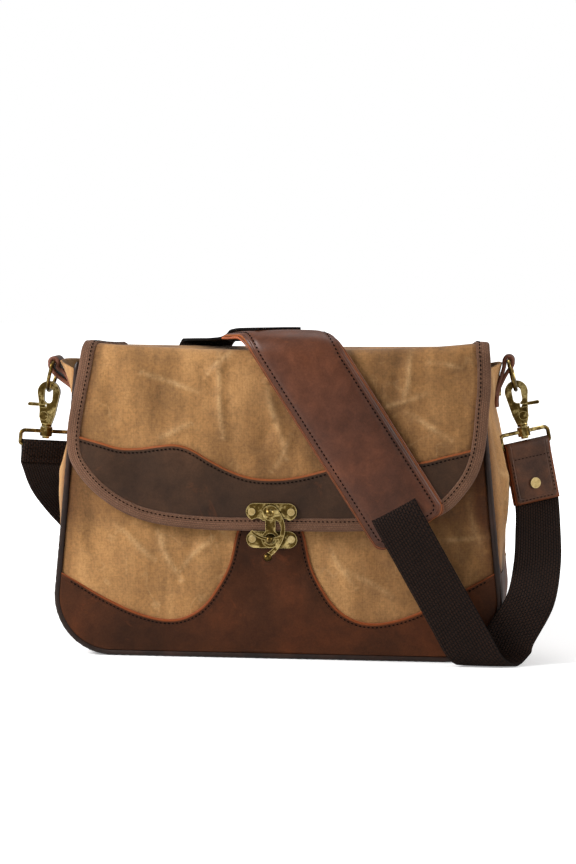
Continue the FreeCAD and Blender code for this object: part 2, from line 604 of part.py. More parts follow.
def swivel_loop():
    w = LOOP_HALF_WIDTH
    top = -BOSS_DOWN
    low = top - LOOP_DROP
    high = 3.5
    small = 1.75
    share = 1 - math.cos(math.radians(45))
    edges = [
        Part.LineSegment(V(0, 0, top), V(w - high, 0, top)).toShape(),
        Part.Arc(
            V(w - high, 0, top), V(w - high * share, 0, top - high * share), V(w, 0, top - high)
        ).toShape(),
        Part.LineSegment(V(w, 0, top - high), V(w, 0, low + small)).toShape(),
        Part.Arc(
            V(w, 0, low + small), V(w - small * share, 0, low + small * share), V(w - small, 0, low)
        ).toShape(),
        Part.LineSegment(V(w - small, 0, low), V(-w + small, 0, low)).toShape(),
        Part.Arc(
            V(-w + small, 0, low), V(-w + small * share, 0, low + small * share), V(-w, 0, low + small)
        ).toShape(),
        Part.LineSegment(V(-w, 0, low + small), V(-w, 0, top - high)).toShape(),
        Part.Arc(
            V(-w, 0, top - high), V(-w + high * share, 0, top - high * share), V(-w + high, 0, top)
        ).toShape(),
        Part.LineSegment(V(-w + high, 0, top), V(0, 0, top)).toShape(),
    ]
    wire = Part.Wire([Part.Circle(V(0, 0, top), V(1, 0, 0), LOOP_WIRE).toShape()])
    frame = Part.Wire(edges).makePipeShell([wire], True, False)
    boss_shape = Part.makeCylinder(5.0, 7.4, V(0, 0, top - 3.9), V(0, 0, 1))
    frame = joined([frame, boss_shape])
    return frame.cut(Part.makeCylinder(2.1, 30, V(0, 0, top - 15), V(0, 0, 1)))


def turned(shape, degrees):
    shape = shape.copy()
    shape.rotate(V(0, 0, 0), V(0, 0, 1), degrees)
    return shape


def wrapped_end(length, thick, gap):
    # one strip folded round the loop's lower bar, its two layers sewn together below
    low = -BOSS_DOWN - LOOP_DROP
    w = WEBBING_WIDTH / 2
    outer = LOOP_WIRE + 0.15 + thick
    fold = rod(V(-w, 0, low), V(w, 0, low), outer)
    front = box(-w, w, -gap - thick, -gap, low - length, low - 2)
    back = box(-w, w, gap, gap + thick, low - length, low - 2)
    strap = joined([fold, front, back]).cut(rod(V(-w - 1, 0, low), V(w + 1, 0, low), LOOP_WIRE + 0.15))
    return strap


side_places = {
    "right": (1, RIGHT_FLARE, CORNER_CENTRE_X + 48.3, 234.0),
    "left": (-1, LEFT_FLARE, CORNER_CENTRE_X + 57.3, 230.5),
}
LEATHER_END_LENGTH = 46.0
WEBBING_END_LENGTH = 15.0
for side, (sign, flare, bar_x, bar_z) in side_places.items():
    def put(node, shape):
        save(side + "_" + node, shape if sign > 0 else mirrored(shape))
    foot = ring_foot(bar_x, bar_z)
    print(side, "bar", bar_x, bar_z, "foot", foot)
    tab_shape = tab(flare, bar_x, bar_z)
    rivets = tab_rivets(flare, bar_x, bar_z)
    for rivet in rivets:
        tab_shape = tab_shape.cut(rivet)
    put("tab", tab_shape)
    put("tab_rivets", Part.makeCompound(rivets))
    put("ring", d_ring(bar_x, bar_z))
    put("hook", hang(hook_fixed(), foot, HOOK_TILT[side]))
    put("jaw", hang(hook_jaw(), foot, HOOK_TILT[side]))
    put("jaw_rivet", hang(jaw_rivet(), foot, HOOK_TILT[side]))
    turn = sign * SWIVEL_TURN
    put("loop", hang(turned(swivel_loop(), turn), foot, HOOK_TILT[side]))
    if sign > 0:
        end = wrapped_end(LEATHER_END_LENGTH, 2.3, 1.15)
        rivet_z = -BOSS_DOWN - LOOP_DROP - 31
        end = end.cut(disc(0, rivet_z, 2.1, 9, -9))
        put("strap_end_leather", hang(turned(end, turn), foot, HOOK_TILT[side]))
        shank = disc(0, rivet_z, 2.0, 4.6, -4.6)
        heads = [disc(0, rivet_z, 4.3, -3.5, -4.9), disc(0, rivet_z, 4.3, 4.9, 3.5)]
        rivet = joined([shank] + heads)
        put("strap_end_rivet", hang(turned(rivet, turn), foot, HOOK_TILT[side]))
    else:
        end = wrapped_end(WEBBING_END_LENGTH, WEBBING_THICK, 0.1)
        put("webbing_end", hang(turned(end, turn), foot, HOOK_TILT[side]))

# ---- shoulder strap: padded part over the flap, then plain webbing ----
# A station is (middle, half-width vector, outward normal); a strip runs through stations.
STRAP_LEAN = math.atan2(0.541, 0.841)
FOLD_Y = FLAP_FRONT_Y + FLAP_FOLD_RADIUS
FOLD_Z = FLAP_TOP_Z - FLAP_FOLD_RADIUS
BASE_RADIUS = FLAP_FOLD_RADIUS + binding_out + 0.2
PASS_X = 57.6
PASS_Z = 183.4
SLIT_Z = 120.0
BACK_Y = HINGE_Y - 1.0


def section(station, half, inner, outer):
    middle, across, normal = station
    across = V(across).multiply(half)
    low = V(middle).add(V(normal).multiply(inner))
    high = V(middle).add(V(normal).multiply(outer))
    corners = [low.sub(across), low.add(across), high.add(across), high.sub(across)]
    return Part.makePolygon(corners + [corners[0]])


def strip(stations, half, inner, outer):
    return Part.makeLoft([section(s, half, inner, outer) for s in stations], True, True)


def over_station(run):
    # run counts along the fold-wise direction, 0 at the front fold's lower end, up and back
    slope = math.tan(STRAP_LEAN)
    x = PASS_X - (run + FOLD_Z - PASS_Z) * slope
    arc = 14.0 * math.pi / 2
    across = V(1 / math.cos(STRAP_LEAN), 0, 0)
    if run <= 0:
        return (V(x, FOLD_Y - BASE_RADIUS, FOLD_Z + run), across, V(0, -1, 0))
    if run < arc:
        a = run / 14.0
        normal = V(0, -math.cos(a), math.sin(a))
        return (V(x, FOLD_Y, FOLD_Z).add(V(normal).multiply(BASE_RADIUS)), across, normal)
    return (V(x, FOLD_Y + run - arc, FOLD_Z + BASE_RADIUS - TOP_SLOPE * (run - arc)), across, V(0, 0, 1))


def square_end(z):
    # an end cut straight across the strap on the front
    x = PASS_X + (PASS_Z - z) * math.tan(STRAP_LEAN)
    across = V(math.cos(STRAP_LEAN), 0, math.sin(STRAP_LEAN))
    return (V(x, FOLD_Y - BASE_RADIUS, z), across, V(0, -1, 0))


def square_top_end(run):
    middle, across, normal = over_station(run)
    return (middle, V(math.cos(STRAP_LEAN), math.sin(STRAP_LEAN), -TOP_SLOPE * math.sin(STRAP_LEAN)), normal)


PAD_LOW_Z = 104.0
PAD_TOP_RUN = 68.0
BACKING = 1.8
PAD_THICK = 9.0
fold_runs = [0, 3.7, 7.3, 11.0, 14.7, 18.3, 22.0]
pad_stations = [square_end(PAD_LOW_Z), square_end(PAD_LOW_Z + 18)]
pad_stations += [over_station(run) for run in [-80, -50, -25] + fold_runs]
pad_stations += [over_station(45), square_top_end(PAD_TOP_RUN)]


def pad_section(station, edge, inner, outer):
    middle, across, normal = station
    low_half = V(across).multiply(edge)
    high_half = V(across).multiply(edge - 7)
    low = V(middle).add(V(normal).multiply(inner))
    shoulder_place = V(middle).add(V(normal).multiply(inner + 2.5))
    high = V(middle).add(V(normal).multiply(outer))
    corners = [low.sub(low_half), low.add(low_half), shoulder_place.add(low_half), high.add(high_half),
               high.sub(high_half), shoulder_place.sub(low_half)]
    return Part.makePolygon(corners + [corners[0]])


cover_halves = [23.0] + [PAD_WIDTH / 2] * (len(pad_stations) - 2) + [23.0]
cover_sections = []
backing_sections = []
for station, half in zip(pad_stations, cover_halves):
    cover_sections.append(pad_section(station, half, BACKING + 0.1, PAD_THICK))
    backing_sections.append(section(station, half - 1, 0, BACKING))
save("shoulder_pad_cover", Part.makeLoft(cover_sections, True, True))
save("shoulder_pad_backing", Part.makeLoft(backing_sections, True, True))

half_web = WEBBING_WIDTH / 2
arc_run = 14.0 * math.pi / 2
END_RUN = BACK_Y - FOLD_Y + arc_run


def lifted(station, rise):
    middle, across, normal = station
    return (V(middle).add(V(normal).multiply(rise)), across, normal)


upper_stations = [
    lifted(over_station(30), PAD_THICK + 0.2),
    lifted(over_station(85), PAD_THICK + 0.2),
    lifted(over_station(98), 4.5),
    lifted(over_station(112), 0.6),
    lifted(over_station(END_RUN), 0.2),
]
save("webbing_upper", strip(upper_stations, half_web, 0, WEBBING_THICK))

FRONT_LEAN = math.atan2(0.49, 0.872)
front_square = V(math.cos(FRONT_LEAN), 0, math.sin(FRONT_LEAN))
front_level = V(1 / math.cos(FRONT_LEAN), 0, 0)
PAD_FACE_Y = FOLD_Y - BASE_RADIUS - PAD_THICK
RUN_Y = PAD_FACE_Y - 0.2
forward = V(0, -1, 0)


def front_x(z):
    return 95.0 + (SLIT_Z - z) * math.tan(FRONT_LEAN)


WEBBING_PART_Z = 82.0
lower_stations = [
    (V(front_x(SLIT_Z), RUN_Y, SLIT_Z), front_square, forward),
    (V(front_x(100), RUN_Y, 100), front_level, forward),
    (V(front_x(WEBBING_PART_Z), RUN_Y, WEBBING_PART_Z), front_level, forward),
]
save("webbing_lower", strip(lower_stations, half_web, 0, WEBBING_THICK))

# Front loop: down to the floor, round a level bend, then up behind itself to the right hook
BEND = 8.0
BEND_Z = 9.4
bend_y = RUN_Y - 1.0 + BEND
front_stations = [
    (V(front_x(WEBBING_PART_Z - 0.2), RUN_Y, WEBBING_PART_Z - 0.2), front_level, forward),
    (V(front_x(50), RUN_Y, 50), front_level, forward),
]
bend_x = front_x(BEND_Z)
BEND_SKEW = 0.85
for step in range(9):
    a = math.radians(180 + 22.5 * step)
    normal = V(0, math.cos(a), math.sin(a))
    x = bend_x + BEND * math.radians(22.5 * step) * BEND_SKEW
    middle = V(x, bend_y, BEND_Z).add(V(normal).multiply(BEND - 1.0))
    front_stations.append((middle, front_level, normal))


def bar_place(side, down):
    sign, flare, bar_x, bar_z = side_places[side]
    lean = math.radians(HOOK_TILT[side])
    foot = ring_foot(bar_x, bar_z)
    middle = V(sign * (foot.x + down * math.sin(lean)), 0, foot.z - down * math.cos(lean))
    turn = math.radians(SWIVEL_TURN)
    across = V(math.cos(turn) * math.cos(lean), math.sin(turn), sign * math.cos(turn) * math.sin(lean))
    return middle, across


def free_station(x, y, z, dx, dy, dz, nx, ny, nz):
    return (V(x, y, z), V(dx, dy, dz).normalize(), V(nx, ny, nz).normalize())


leather_low = BOSS_DOWN + LOOP_DROP + LEATHER_END_LENGTH
end_middle, end_across = bar_place("right", leather_low)
inside_middle, inside_across = bar_place("right", leather_low - 10)
front_normal = V(math.sin(math.radians(SWIVEL_TURN)), -math.cos(math.radians(SWIVEL_TURN)), 0)
rear_top = (V(end_middle).sub(V(front_normal)), end_across, V(front_normal))
rear_in = (V(inside_middle).sub(V(front_normal)), inside_across, V(front_normal))
last = front_stations[-1][0]
front_stations += [
    free_station(last.x + 6.5, last.y - 0.4, 24.0, 1, 0.04, -0.42, 0, 1, 0.02),
    free_station(199.5, -63.5, 50.0, 1, 0.20, -0.24, -0.2, 1, 0.12),
    free_station(204.5, -44.0, 76.0, 1, 0.28, -0.06, -0.28, 0.95, 0.45),
    free_station(204.5, -20.0, 100.0, 1, 0.40, 0.10, -0.40, 0.95, 0.50),
]
tail = [rear_top, rear_in]
tail = [(m, a, V(n).multiply(-1)) for m, a, n in tail]
tail = [(V(m).sub(V(n).multiply(2.0)), a, n) for m, a, n in tail]
front_stations += tail
save("front_webbing", strip(front_stations, half_web, 0, WEBBING_THICK))

# Rear loop: over the back edge, down behind the bag, round on the floor, up to the left hook
end_station = over_station(END_RUN + 0.2)
rear_start = lifted(end_station, 0.2)
REAR_RADIUS = 6.0
rear_stations = [rear_start]
arc_centre = V(0, HINGE_Y + 1.5, rear_start[0].z - REAR_RADIUS)
slope = math.tan(STRAP_LEAN)
for step in range(5):
    a = math.radians(90 - 22.5 * step)
    normal = V(0, math.cos(a), math.sin(a))
    x = rear_start[0].x - (1.5 + REAR_RADIUS * math.radians(22.5 * step)) * slope
    middle = V(x, arc_centre.y, arc_centre.z).add(V(normal).multiply(REAR_RADIUS))
    rear_stations.append((middle, rear_start[1], normal))
rear_y = arc_centre.y + REAR_RADIUS
back_x = rear_stations[-1][0].x
backward = V(0, 1, 0)
drop_x = [
    (210.0, 16.5, 1.12), (178.0, 31.0, 1.07), (140.0, 43.0, 1.04),
    (100.0, 53.0, 1.03), (60.0, 61.0, 1.02), (BEND_Z, 69.0, 1.01),
]
for z, shift, stretch in drop_x:
    rear_stations.append((V(back_x - shift, rear_y, z), V(stretch, 0, 0), backward))
foot_x = back_x - 69.0
rear_bend_y = rear_y + 1.0 + BEND
for step in range(1, 9):
    a = math.radians(180 + 22.5 * step)
    # the outer face faces the bag's back on the way down and away from it on the way up
    normal = V(0, -math.cos(a), -math.sin(a))
    spoke = V(0, math.cos(a), math.sin(a)).multiply(BEND + 1.0)
    middle = V(foot_x - 0.6 * step, rear_bend_y, BEND_Z).add(spoke)
    rear_stations.append((middle, V(1.01, 0, 0), normal))
rise_y = rear_stations[-1][0].y
wrap_low = BOSS_DOWN + LOOP_DROP + WEBBING_END_LENGTH
left_middle, left_across = bar_place("left", wrap_low + 0.3)
left_normal = V(math.sin(math.radians(SWIVEL_TURN)), -math.cos(math.radians(SWIVEL_TURN)), 0)
rise = [
    free_station(foot_x - 8.0, rise_y, 32.0, 1, 0, 0.20, 0, -1, 0),
    free_station(foot_x - 15.0, rise_y - 2.0, 56.0, 1, 0.03, 0.35, 0, -1, -0.10),
    free_station(-172.0, BACK_FACE_Y + 18.0, 78.0, 1, 0.10, 0.55, -0.10, -0.85, -0.50),
    free_station(-181.0, BACK_FACE_Y + 10.0, 93.0, 1, 0.28, 0.50, -0.32, -0.75, -0.55),
    free_station(-192.5, 52.5, 111.0, 1, 0.60, 0.50, -0.42, -0.80, -0.50),
    free_station(-198.0, 26.0, 128.0, 1, 0.55, 0.20, -0.45, -0.85, -0.35),
    (V(left_middle).add(V(left_normal).multiply(-0.1 - WEBBING_THICK)), left_across, left_normal),
]
rear_stations += rise
save("rear_webbing", strip(rear_stations, half_web, 0, WEBBING_THICK))
tail_stations = [(V(m).sub(V(n).multiply(WEBBING_THICK + 0.3)), a, n) for m, a, n in rise[1:-1]]
save("webbing_tail", strip(tail_stations, half_web, 0, WEBBING_THICK))

# Slider on the doubled webbing behind the bag
m, a, n = rise[1]
m2 = rise[2][0]
slide_dir = m2.sub(rise[0][0]).normalize()
out = V(n).multiply(-1)
side_dir = slide_dir.cross(out).normalize()
out = side_dir.cross(slide_dir).normalize()
print("slider at", m, "direction", slide_dir, "out", out)
frame_place = FreeCAD.Matrix(
    side_dir.x, out.x, slide_dir.x, m.x,
    side_dir.y, out.y, slide_dir.y, m.y,
    side_dir.z, out.z, slide_dir.z, m.z,
    0, 0, 0, 1)
slot_half = WEBBING_WIDTH / 2 + 1.2
frame = box(-slot_half - 3.3, slot_half + 3.3, 3.7, 5.9, -13, 13)
for z0, z1 in ((-10.4, -1.8), (1.8, 10.4)):
    frame = frame.cut(box(-slot_half, slot_half, 0, 9, z0, z1))
save("strap_slider", frame.transformGeometry(frame_place))
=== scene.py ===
import math

import bmesh
import bpy
from mathutils import Matrix, Vector, noise
from mathutils.kdtree import KDTree


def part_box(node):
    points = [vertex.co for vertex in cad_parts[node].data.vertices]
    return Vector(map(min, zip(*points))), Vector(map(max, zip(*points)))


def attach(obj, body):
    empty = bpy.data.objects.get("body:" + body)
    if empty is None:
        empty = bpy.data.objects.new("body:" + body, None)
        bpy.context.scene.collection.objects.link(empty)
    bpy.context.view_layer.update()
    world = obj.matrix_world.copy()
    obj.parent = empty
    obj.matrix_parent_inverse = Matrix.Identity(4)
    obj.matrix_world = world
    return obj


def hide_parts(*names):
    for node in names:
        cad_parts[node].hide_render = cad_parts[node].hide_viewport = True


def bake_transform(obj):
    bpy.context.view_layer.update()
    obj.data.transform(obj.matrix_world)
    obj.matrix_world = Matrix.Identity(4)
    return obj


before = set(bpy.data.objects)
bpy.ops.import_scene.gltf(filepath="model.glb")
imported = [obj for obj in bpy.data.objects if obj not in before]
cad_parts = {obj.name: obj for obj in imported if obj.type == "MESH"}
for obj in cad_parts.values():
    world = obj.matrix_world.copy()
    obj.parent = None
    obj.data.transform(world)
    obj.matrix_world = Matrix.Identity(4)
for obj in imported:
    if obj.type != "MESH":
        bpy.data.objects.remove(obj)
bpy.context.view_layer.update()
print("frame loaded")


def mm(value):
    return value * 0.001


def hexColor(text):
    parts = [int(text[i:i + 2], 16) / 255 for i in (1, 3, 5)]
    return [p / 12.92 if p <= 0.04045 else ((p + 0.055) / 1.055) ** 2.4 for p in parts] + [1.0]


class Paint:
    # adds shader nodes to one material or world
    def __init__(self, owner):
        self.owner = owner
        owner.use_nodes = True
        self.tree = owner.node_tree
        self.tree.nodes.clear()

    def add(self, kind, settings=None, inputs=None, take=0):
        # an input is a value, a colour or another node's output
        node = self.tree.nodes.new("ShaderNode" + kind)
        for key, value in (settings or {}).items():
            setattr(node, key, value)
        for key, value in (inputs or {}).items():
            if isinstance(value, bpy.types.NodeSocket):
                self.tree.links.new(value, node.inputs[key])
            else:
                node.inputs[key].default_value = hexColor(value) if isinstance(value, str) else value
        return node if take is None else node.outputs[take]

    def place(self):
        return self.add("TexCoord", take="Object")

    def marked(self, name):
        return self.add("Attribute", {"attribute_name": name}, take="Fac")

    def noise(self, place, sizeMm, detail, rough=0.5, bent=0.0):
        return self.add("TexNoise", {}, {"Vector": place, "Scale": 1000 / sizeMm, "Detail": detail,
            "Roughness": rough, "Distortion": bent})

    def calc(self, operation, *values):
        return self.add("Math", {"operation": operation}, dict(enumerate(values)))

    def ramp(self, value, *stops):
        # stops are (place, grey or colour)
        node = self.add("ValToRGB", {}, {0: value}, None)
        shades = [hexColor(v) if isinstance(v, str) else [v, v, v, 1.0] for place, v in stops]
        bar = node.color_ramp.elements
        for i in (0, -1):
            bar[i].position = stops[i][0]
            bar[i].color = shades[i]
        for (place, v), shade in zip(stops[1:-1], shades[1:-1]):
            bar.new(place).color = shade
        return node.outputs[0]

    def over(self, share, low, high, way="MIX"):
        return self.add("Mix", {"data_type": "RGBA", "blend_type": way}, {0: share, 6: low, 7: high}, 2)

    def times(self, share, low, high):
        return self.over(share, low, high, "MULTIPLY")

    def finish(self, inputs, heights):
        # heights are (height, strength, depth in mm), each laid over the one before
        normal = None
        for height, strength, depth in heights:
            bump = {"Height": height, "Strength": strength, "Distance": mm(depth)}
            if normal is not None:
                bump["Normal"] = normal
            normal = self.add("Bump", {}, bump)
        surface = self.add("BsdfPrincipled", {}, {**inputs, "Normal": normal})
        self.add("OutputMaterial", {}, {0: surface}, None)
        return self.owner


# cotton canvas soaked in wax: fine cross weave, cloudy tone, pale broken lines where it has creased, and a
# darker tone for painted shade
canvasLooks = {"deep": "#6C4B28", "body": "#90683D", "pale": "#AE8251", "crease": "#CFAC7B",
               "paintedShadeTone": "#8A6E50", "threadMm": 1.3, "creaseStrength": 0.16}


def waxedCanvas(name, looks):
    paint = Paint(bpy.data.materials.new(name))
    place = paint.place()
    cloth = paint.add("UVMap", {"uv_map": "cloth"})
    upright = paint.add("Mapping", {}, {"Vector": place, "Scale": (1.9, 1.0, 0.6)})
    cloud = paint.noise(upright, 70, 5, 0.55, 0.2)
    patch = paint.noise(place, 16, 5, 0.65, 0.15)
    grit = paint.noise(place, 2.2, 3, 0.7)
    tone = paint.ramp(cloud, (0.32, looks["deep"]), (0.50, looks["body"]), (0.70, looks["pale"]))
    patchTone = paint.ramp(patch, (0.30, 0.78), (0.50, 1.0), (0.70, 1.2))
    tone = paint.times(0.8, tone, patchTone)
    # wax cracks lie where a bent noise crosses its middle, broken up by a second one
    bent = paint.noise(place, 48, 3, 0.5, 1.1)
    away = paint.calc("ABSOLUTE", paint.calc("SUBTRACT", bent, 0.5))
    line = paint.ramp(away, (0.0, 1.0), (0.008, 0.5), (0.028, 0.0))
    breaks = paint.noise(place, 30, 3)
    broken = paint.ramp(breaks, (0.46, 0.0), (0.62, 1.0))
    line = paint.calc("MULTIPLY", line, broken)
    tone = paint.over(paint.calc("MULTIPLY", line, looks["creaseStrength"]), tone, looks["crease"])
    # folds made in the mesh are marked by an attribute of their own
    fold = paint.marked("crease")
    foldBreaks = paint.noise(place, 8, 3, 0.7)
    foldBroken = paint.ramp(foldBreaks, (0.34, 0.25), (0.64, 1.0))
    foldLine = paint.calc("MULTIPLY", paint.calc("MULTIPLY", fold, foldBroken), 0.5)
    tone = paint.over(foldLine, tone, looks["crease"])
    # real threads are 0.6 mm apart; they are drawn wider so that they show
    threads = {"Vector": cloth, "Scale": 314.159 / looks["threadMm"], "Distortion": 1.5, "Detail": 2.0}
    rows = [paint.add("TexWave", {"bands_direction": way}, threads, "Fac") for way in "XY"]
    weave = paint.calc("MULTIPLY", paint.calc("ADD", rows[0], rows[1]), 0.5)
    fleck = paint.calc("MULTIPLY_ADD", weave, 0.16, paint.calc("MULTIPLY", grit, 0.84))
    fleckTone = paint.ramp(fleck, (0.36, 0.68), (0.50, 1.0), (0.64, 1.24))
    tone = paint.times(0.7, tone, fleckTone)
    # painted shade: the shade mark multiplies the canvas by a darker tone near seams, under the flap and
    # tape, and towards the right
    shade = paint.marked("shade")
    paintedShadeMix = paint.times(1.0, tone, looks["paintedShadeTone"])
    tone = paint.over(shade, tone, paintedShadeMix)
    rough = paint.ramp(patch, (0.3, 0.6), (0.7, 0.8))
    return paint.finish({"Base Color": tone, "Roughness": rough, "Sheen Weight": 0.05,
        "Specular IOR Level": 0.2}, [(cloud, 0.4, 3.0), (patch, 0.4, 1.6), (line, 0.3, 0.3),
        (weave, 0.25, 0.2), (grit, 0.4, 0.3)])


# oil-pulled cowhide: soft pebble, darker pores, warmer where it is bent or rubbed along its edge
def hideLeather(name, looks):
    paint = Paint(bpy.data.materials.new(name))
    place = paint.place()
    cloud = paint.noise(place, looks["cloudMm"], 5, 0.6, 0.3)
    pull = paint.noise(place, 13, 4, 0.7, 0.5)
    fine = paint.noise(place, 1.4, 3, 0.65)
    pebble = paint.add("TexVoronoi", {"feature": "DISTANCE_TO_EDGE"},
        {"Vector": place, "Scale": 1000 / looks["grainMm"]}, "Distance")
    stretched = paint.add("Mapping", {}, {"Vector": place, "Rotation": (0.3, 0.9, 0.4),
        "Scale": (1.0, 8.0, 1.0)})
    scuff = paint.noise(stretched, 30, 6, 0.75, 0.6)
    scratch = paint.ramp(scuff, (0.60, 0.0), (0.72, 1.0))
    tone = paint.ramp(cloud, (0.32, looks["deep"]), (0.52, looks["body"]), (0.74, looks["warm"]))
    pullTone = paint.ramp(pull, (0.36, 0.76), (0.52, 1.0), (0.68, 1.24))
    tone = paint.times(0.75, tone, pullTone)
    fineTone = paint.ramp(fine, (0.34, 0.8), (0.66, 1.18))
    tone = paint.times(0.6, tone, fineTone)
    tone = paint.over(paint.calc("MULTIPLY", scratch, 0.16), tone, looks["rubbed"])
    # rim is the distance from the cut edge, 1 being 10 mm; the stitched line lies in a shallow furrow
    rim = paint.marked("rim")
    edgeTone = paint.ramp(rim, (0.0, 1.0), (0.10, 0.9), (0.17, 0.0))
    tone = paint.over(paint.calc("MULTIPLY", edgeTone, looks["edge"]), tone, looks["rubbed"])
    furrow = paint.ramp(rim, (0.0, 0.0), (0.10, 0.8), (0.30, 0.95), (0.36, 0.5), (0.42, 0.95), (0.6, 1.0))
    rough = paint.ramp(pull, (0.3, looks["rough"] - 0.07), (0.7, looks["rough"] + 0.1))
    return paint.finish({"Base Color": tone, "Roughness": rough, "Specular IOR Level": looks["shine"]},
        [(furrow, 0.6, 0.9), (cloud, 0.3, 1.5), (pebble, 0.22, 0.25), (fine, 0.2, 0.14),
        (scratch, 0.15, 0.1)])


# the cut side of leather, where the undyed fibre shows
def cutEdge(name, color):
    paint = Paint(bpy.data.materials.new(name))
    place = paint.place()
    fibre = paint.noise(place, 1.2, 4, 0.7)
    wide = paint.noise(place, 16, 3)
    fibreTone = paint.ramp(fibre, (0.3, 0.6), (0.7, 1.25))
    wideTone = paint.ramp(wide, (0.35, 0.6), (0.65, 1.15))
    tone = paint.times(0.8, color, fibreTone)
    tone = paint.times(0.8, tone, wideTone)
    return paint.finish({"Base Color": tone, "Roughness": 0.7}, [(fibre, 0.5, 0.3)])


# woven band: rows of rounded yarns that step sideways from row to row, dark between them
def wovenTape(name, looks):
    paint = Paint(bpy.data.materials.new(name))
    cloth = paint.add("UVMap", {"uv_map": "cloth"})
    place = paint.place()
    wall = {"Vector": cloth, "Scale": 1000.0, "Brick Width": looks["yarnMm"],
        "Row Height": looks["rowMm"], "Mortar Size": looks["gapMm"], "Mortar Smooth": 1.0, "Bias": 0.0}
    gap = paint.add("TexBrick", {"offset": 0.5}, wall, "Fac")
    yarn = paint.calc("SUBTRACT", 1.0, gap)
    wide = paint.noise(place, 20, 4, 0.6)
    lint = paint.noise(place, 1.3, 2, 0.6)
    wideTone = paint.ramp(wide, (0.3, 0.75), (0.7, 1.25))
    linty = paint.ramp(lint, (0.55, 0.0), (0.75, 1.0))
    tone = paint.over(yarn, looks["deep"], looks["body"])
    tone = paint.times(0.8, tone, wideTone)
    tone = paint.over(paint.calc("MULTIPLY", linty, looks["lint"]), tone, looks["pale"])
    return paint.finish({"Base Color": tone, "Roughness": 0.8, "Specular IOR Level": 0.12,
        "Sheen Weight": looks["sheen"]}, [(wide, 0.2, 1.0), (yarn, 0.9, looks["depthMm"])])


# cast zinc plated in antique brass: brown in the hollows, rubbed bright on its ridges
def agedBrass(name, looks):
    paint = Paint(bpy.data.materials.new(name))
    place = paint.place()
    stain = paint.noise(place, 7, 5, 0.65, 0.5)
    fine = paint.noise(place, 1.1, 3, 0.6)
    rounded = paint.add("Bevel", {"samples": 6}, {"Radius": mm(0.7)})
    flat = paint.add("NewGeometry", take="Normal")
    turn = paint.add("VectorMath", {"operation": "DOT_PRODUCT"}, {0: rounded, 1: flat}, "Value")
    worn = paint.ramp(paint.calc("SUBTRACT", 1.0, turn), (0.004, 0.0), (0.05, 1.0))
    tone = paint.ramp(stain, (0.30, looks["deep"]), (0.52, looks["body"]), (0.72, looks["bright"]))
    tone = paint.over(paint.calc("MULTIPLY", worn, looks["wear"]), tone, looks["bright"])
    fineTone = paint.ramp(fine, (0.3, 0.7), (0.7, 1.2))
    tone = paint.times(0.35, tone, fineTone)
    rough = paint.ramp(stain, (0.3, looks["rough"] + 0.12), (0.7, looks["rough"] - 0.05))
    return paint.finish({"Base Color": tone, "Metallic": 1.0, "Roughness": rough},
        [(stain, 0.12, 0.3), (fine, 0.1, 0.08)])


# waxed sewing thread, with the turns of its twist
def sewingThread(name, color):
    paint = Paint(bpy.data.materials.new(name))
    place = paint.place()
    twist = paint.noise(place, 0.8, 2)
    twistTone = paint.ramp(twist, (0.3, 0.6), (0.7, 1.3))
    tone = paint.times(0.7, color, twistTone)
    return paint.finish({"Base Color": tone, "Roughness": 0.85, "Specular IOR Level": 0.05},
        [(twist, 0.4, 0.1)])


def looksOf(keys, rows):
    # one dictionary of looks for each row
    return {name: dict(zip(keys.split(), row)) for name, row in rows.items()}


leatherLooks = looksOf("deep body warm rubbed cloudMm grainMm rough shine edge", {
    "base": ("#301A0D", "#402211", "#542B15", "#8A4521", 80, 2.2, 0.55, 0.1, 0.75),
    "band": ("#2A1B11", "#3A2618", "#4A3121", "#8A4A24", 90, 2.6, 0.5, 0.16, 0.9),
    "pad": ("#3A2014", "#4E2B1B", "#653821", "#925026", 70, 2.4, 0.42, 0.24, 0.9),
    "strap": ("#2E1A10", "#452A1A", "#5C3722", "#7C4224", 24, 1.8, 0.45, 0.2, 0.6),
    "piping": ("#150C08", "#24150E", "#382218", "#5A3C2C", 30, 1.6, 0.42, 0.22, 0.0)})
tapeLooks = looksOf("deep body pale yarnMm rowMm gapMm depthMm lint sheen", {
    "webbing": ("#020101", "#24150D", "#44301F", 3.2, 2.1, 0.62, 0.7, 0.1, 0.0),
    "binding": ("#3A261B", "#6A4B39", "#9A7C66", 2.2, 1.3, 0.2, 0.3, 0.3, 0.05),
    "lining": ("#2E2318", "#4A3A28", "#5C4A36", 1.0, 1.0, 0.14, 0.12, 0.1, 0.1)})
brassLooks = looksOf("deep body bright wear rough", {
    "hardware": ("#2A1E0B", "#5A4721", "#E2C986", 0.9, 0.3),
    "rivet": ("#8F7A4C", "#B8A06C", "#D9C592", 0.5, 0.42)})
canvas = waxedCanvas("waxedCanvas", canvasLooks)
baseLeather = hideLeather("pullUpLeather", leatherLooks["base"])
bandLeather = hideLeather("smoothDarkLeather", leatherLooks["band"])
padLeather = hideLeather("oiledPadLeather", leatherLooks["pad"])
strapLeather = hideLeather("strapEndLeather", leatherLooks["strap"])
pipingLeather = hideLeather("pipingLeather", leatherLooks["piping"])
edgeOrange = cutEdge("orangeCutEdge", "#9C5029")
edgeBrown = cutEdge("brownCutEdge", "#6B3A22")
webbingCloth = wovenTape("cottonWebbing", tapeLooks["webbing"])
bindingTape = wovenTape("ribbedBindingTape", tapeLooks["binding"])
liningCloth = wovenTape("nylonLining", tapeLooks["lining"])
antiqueBrass = agedBrass("antiqueBrass", brassLooks["hardware"])
rivetBrass = agedBrass("rubbedBrassRivet", brassLooks["rivet"])
threadDark = sewingThread("darkThread", "#0E0805")
threadBrown = sewingThread("brownThread", "#23150E")
print("materials made")


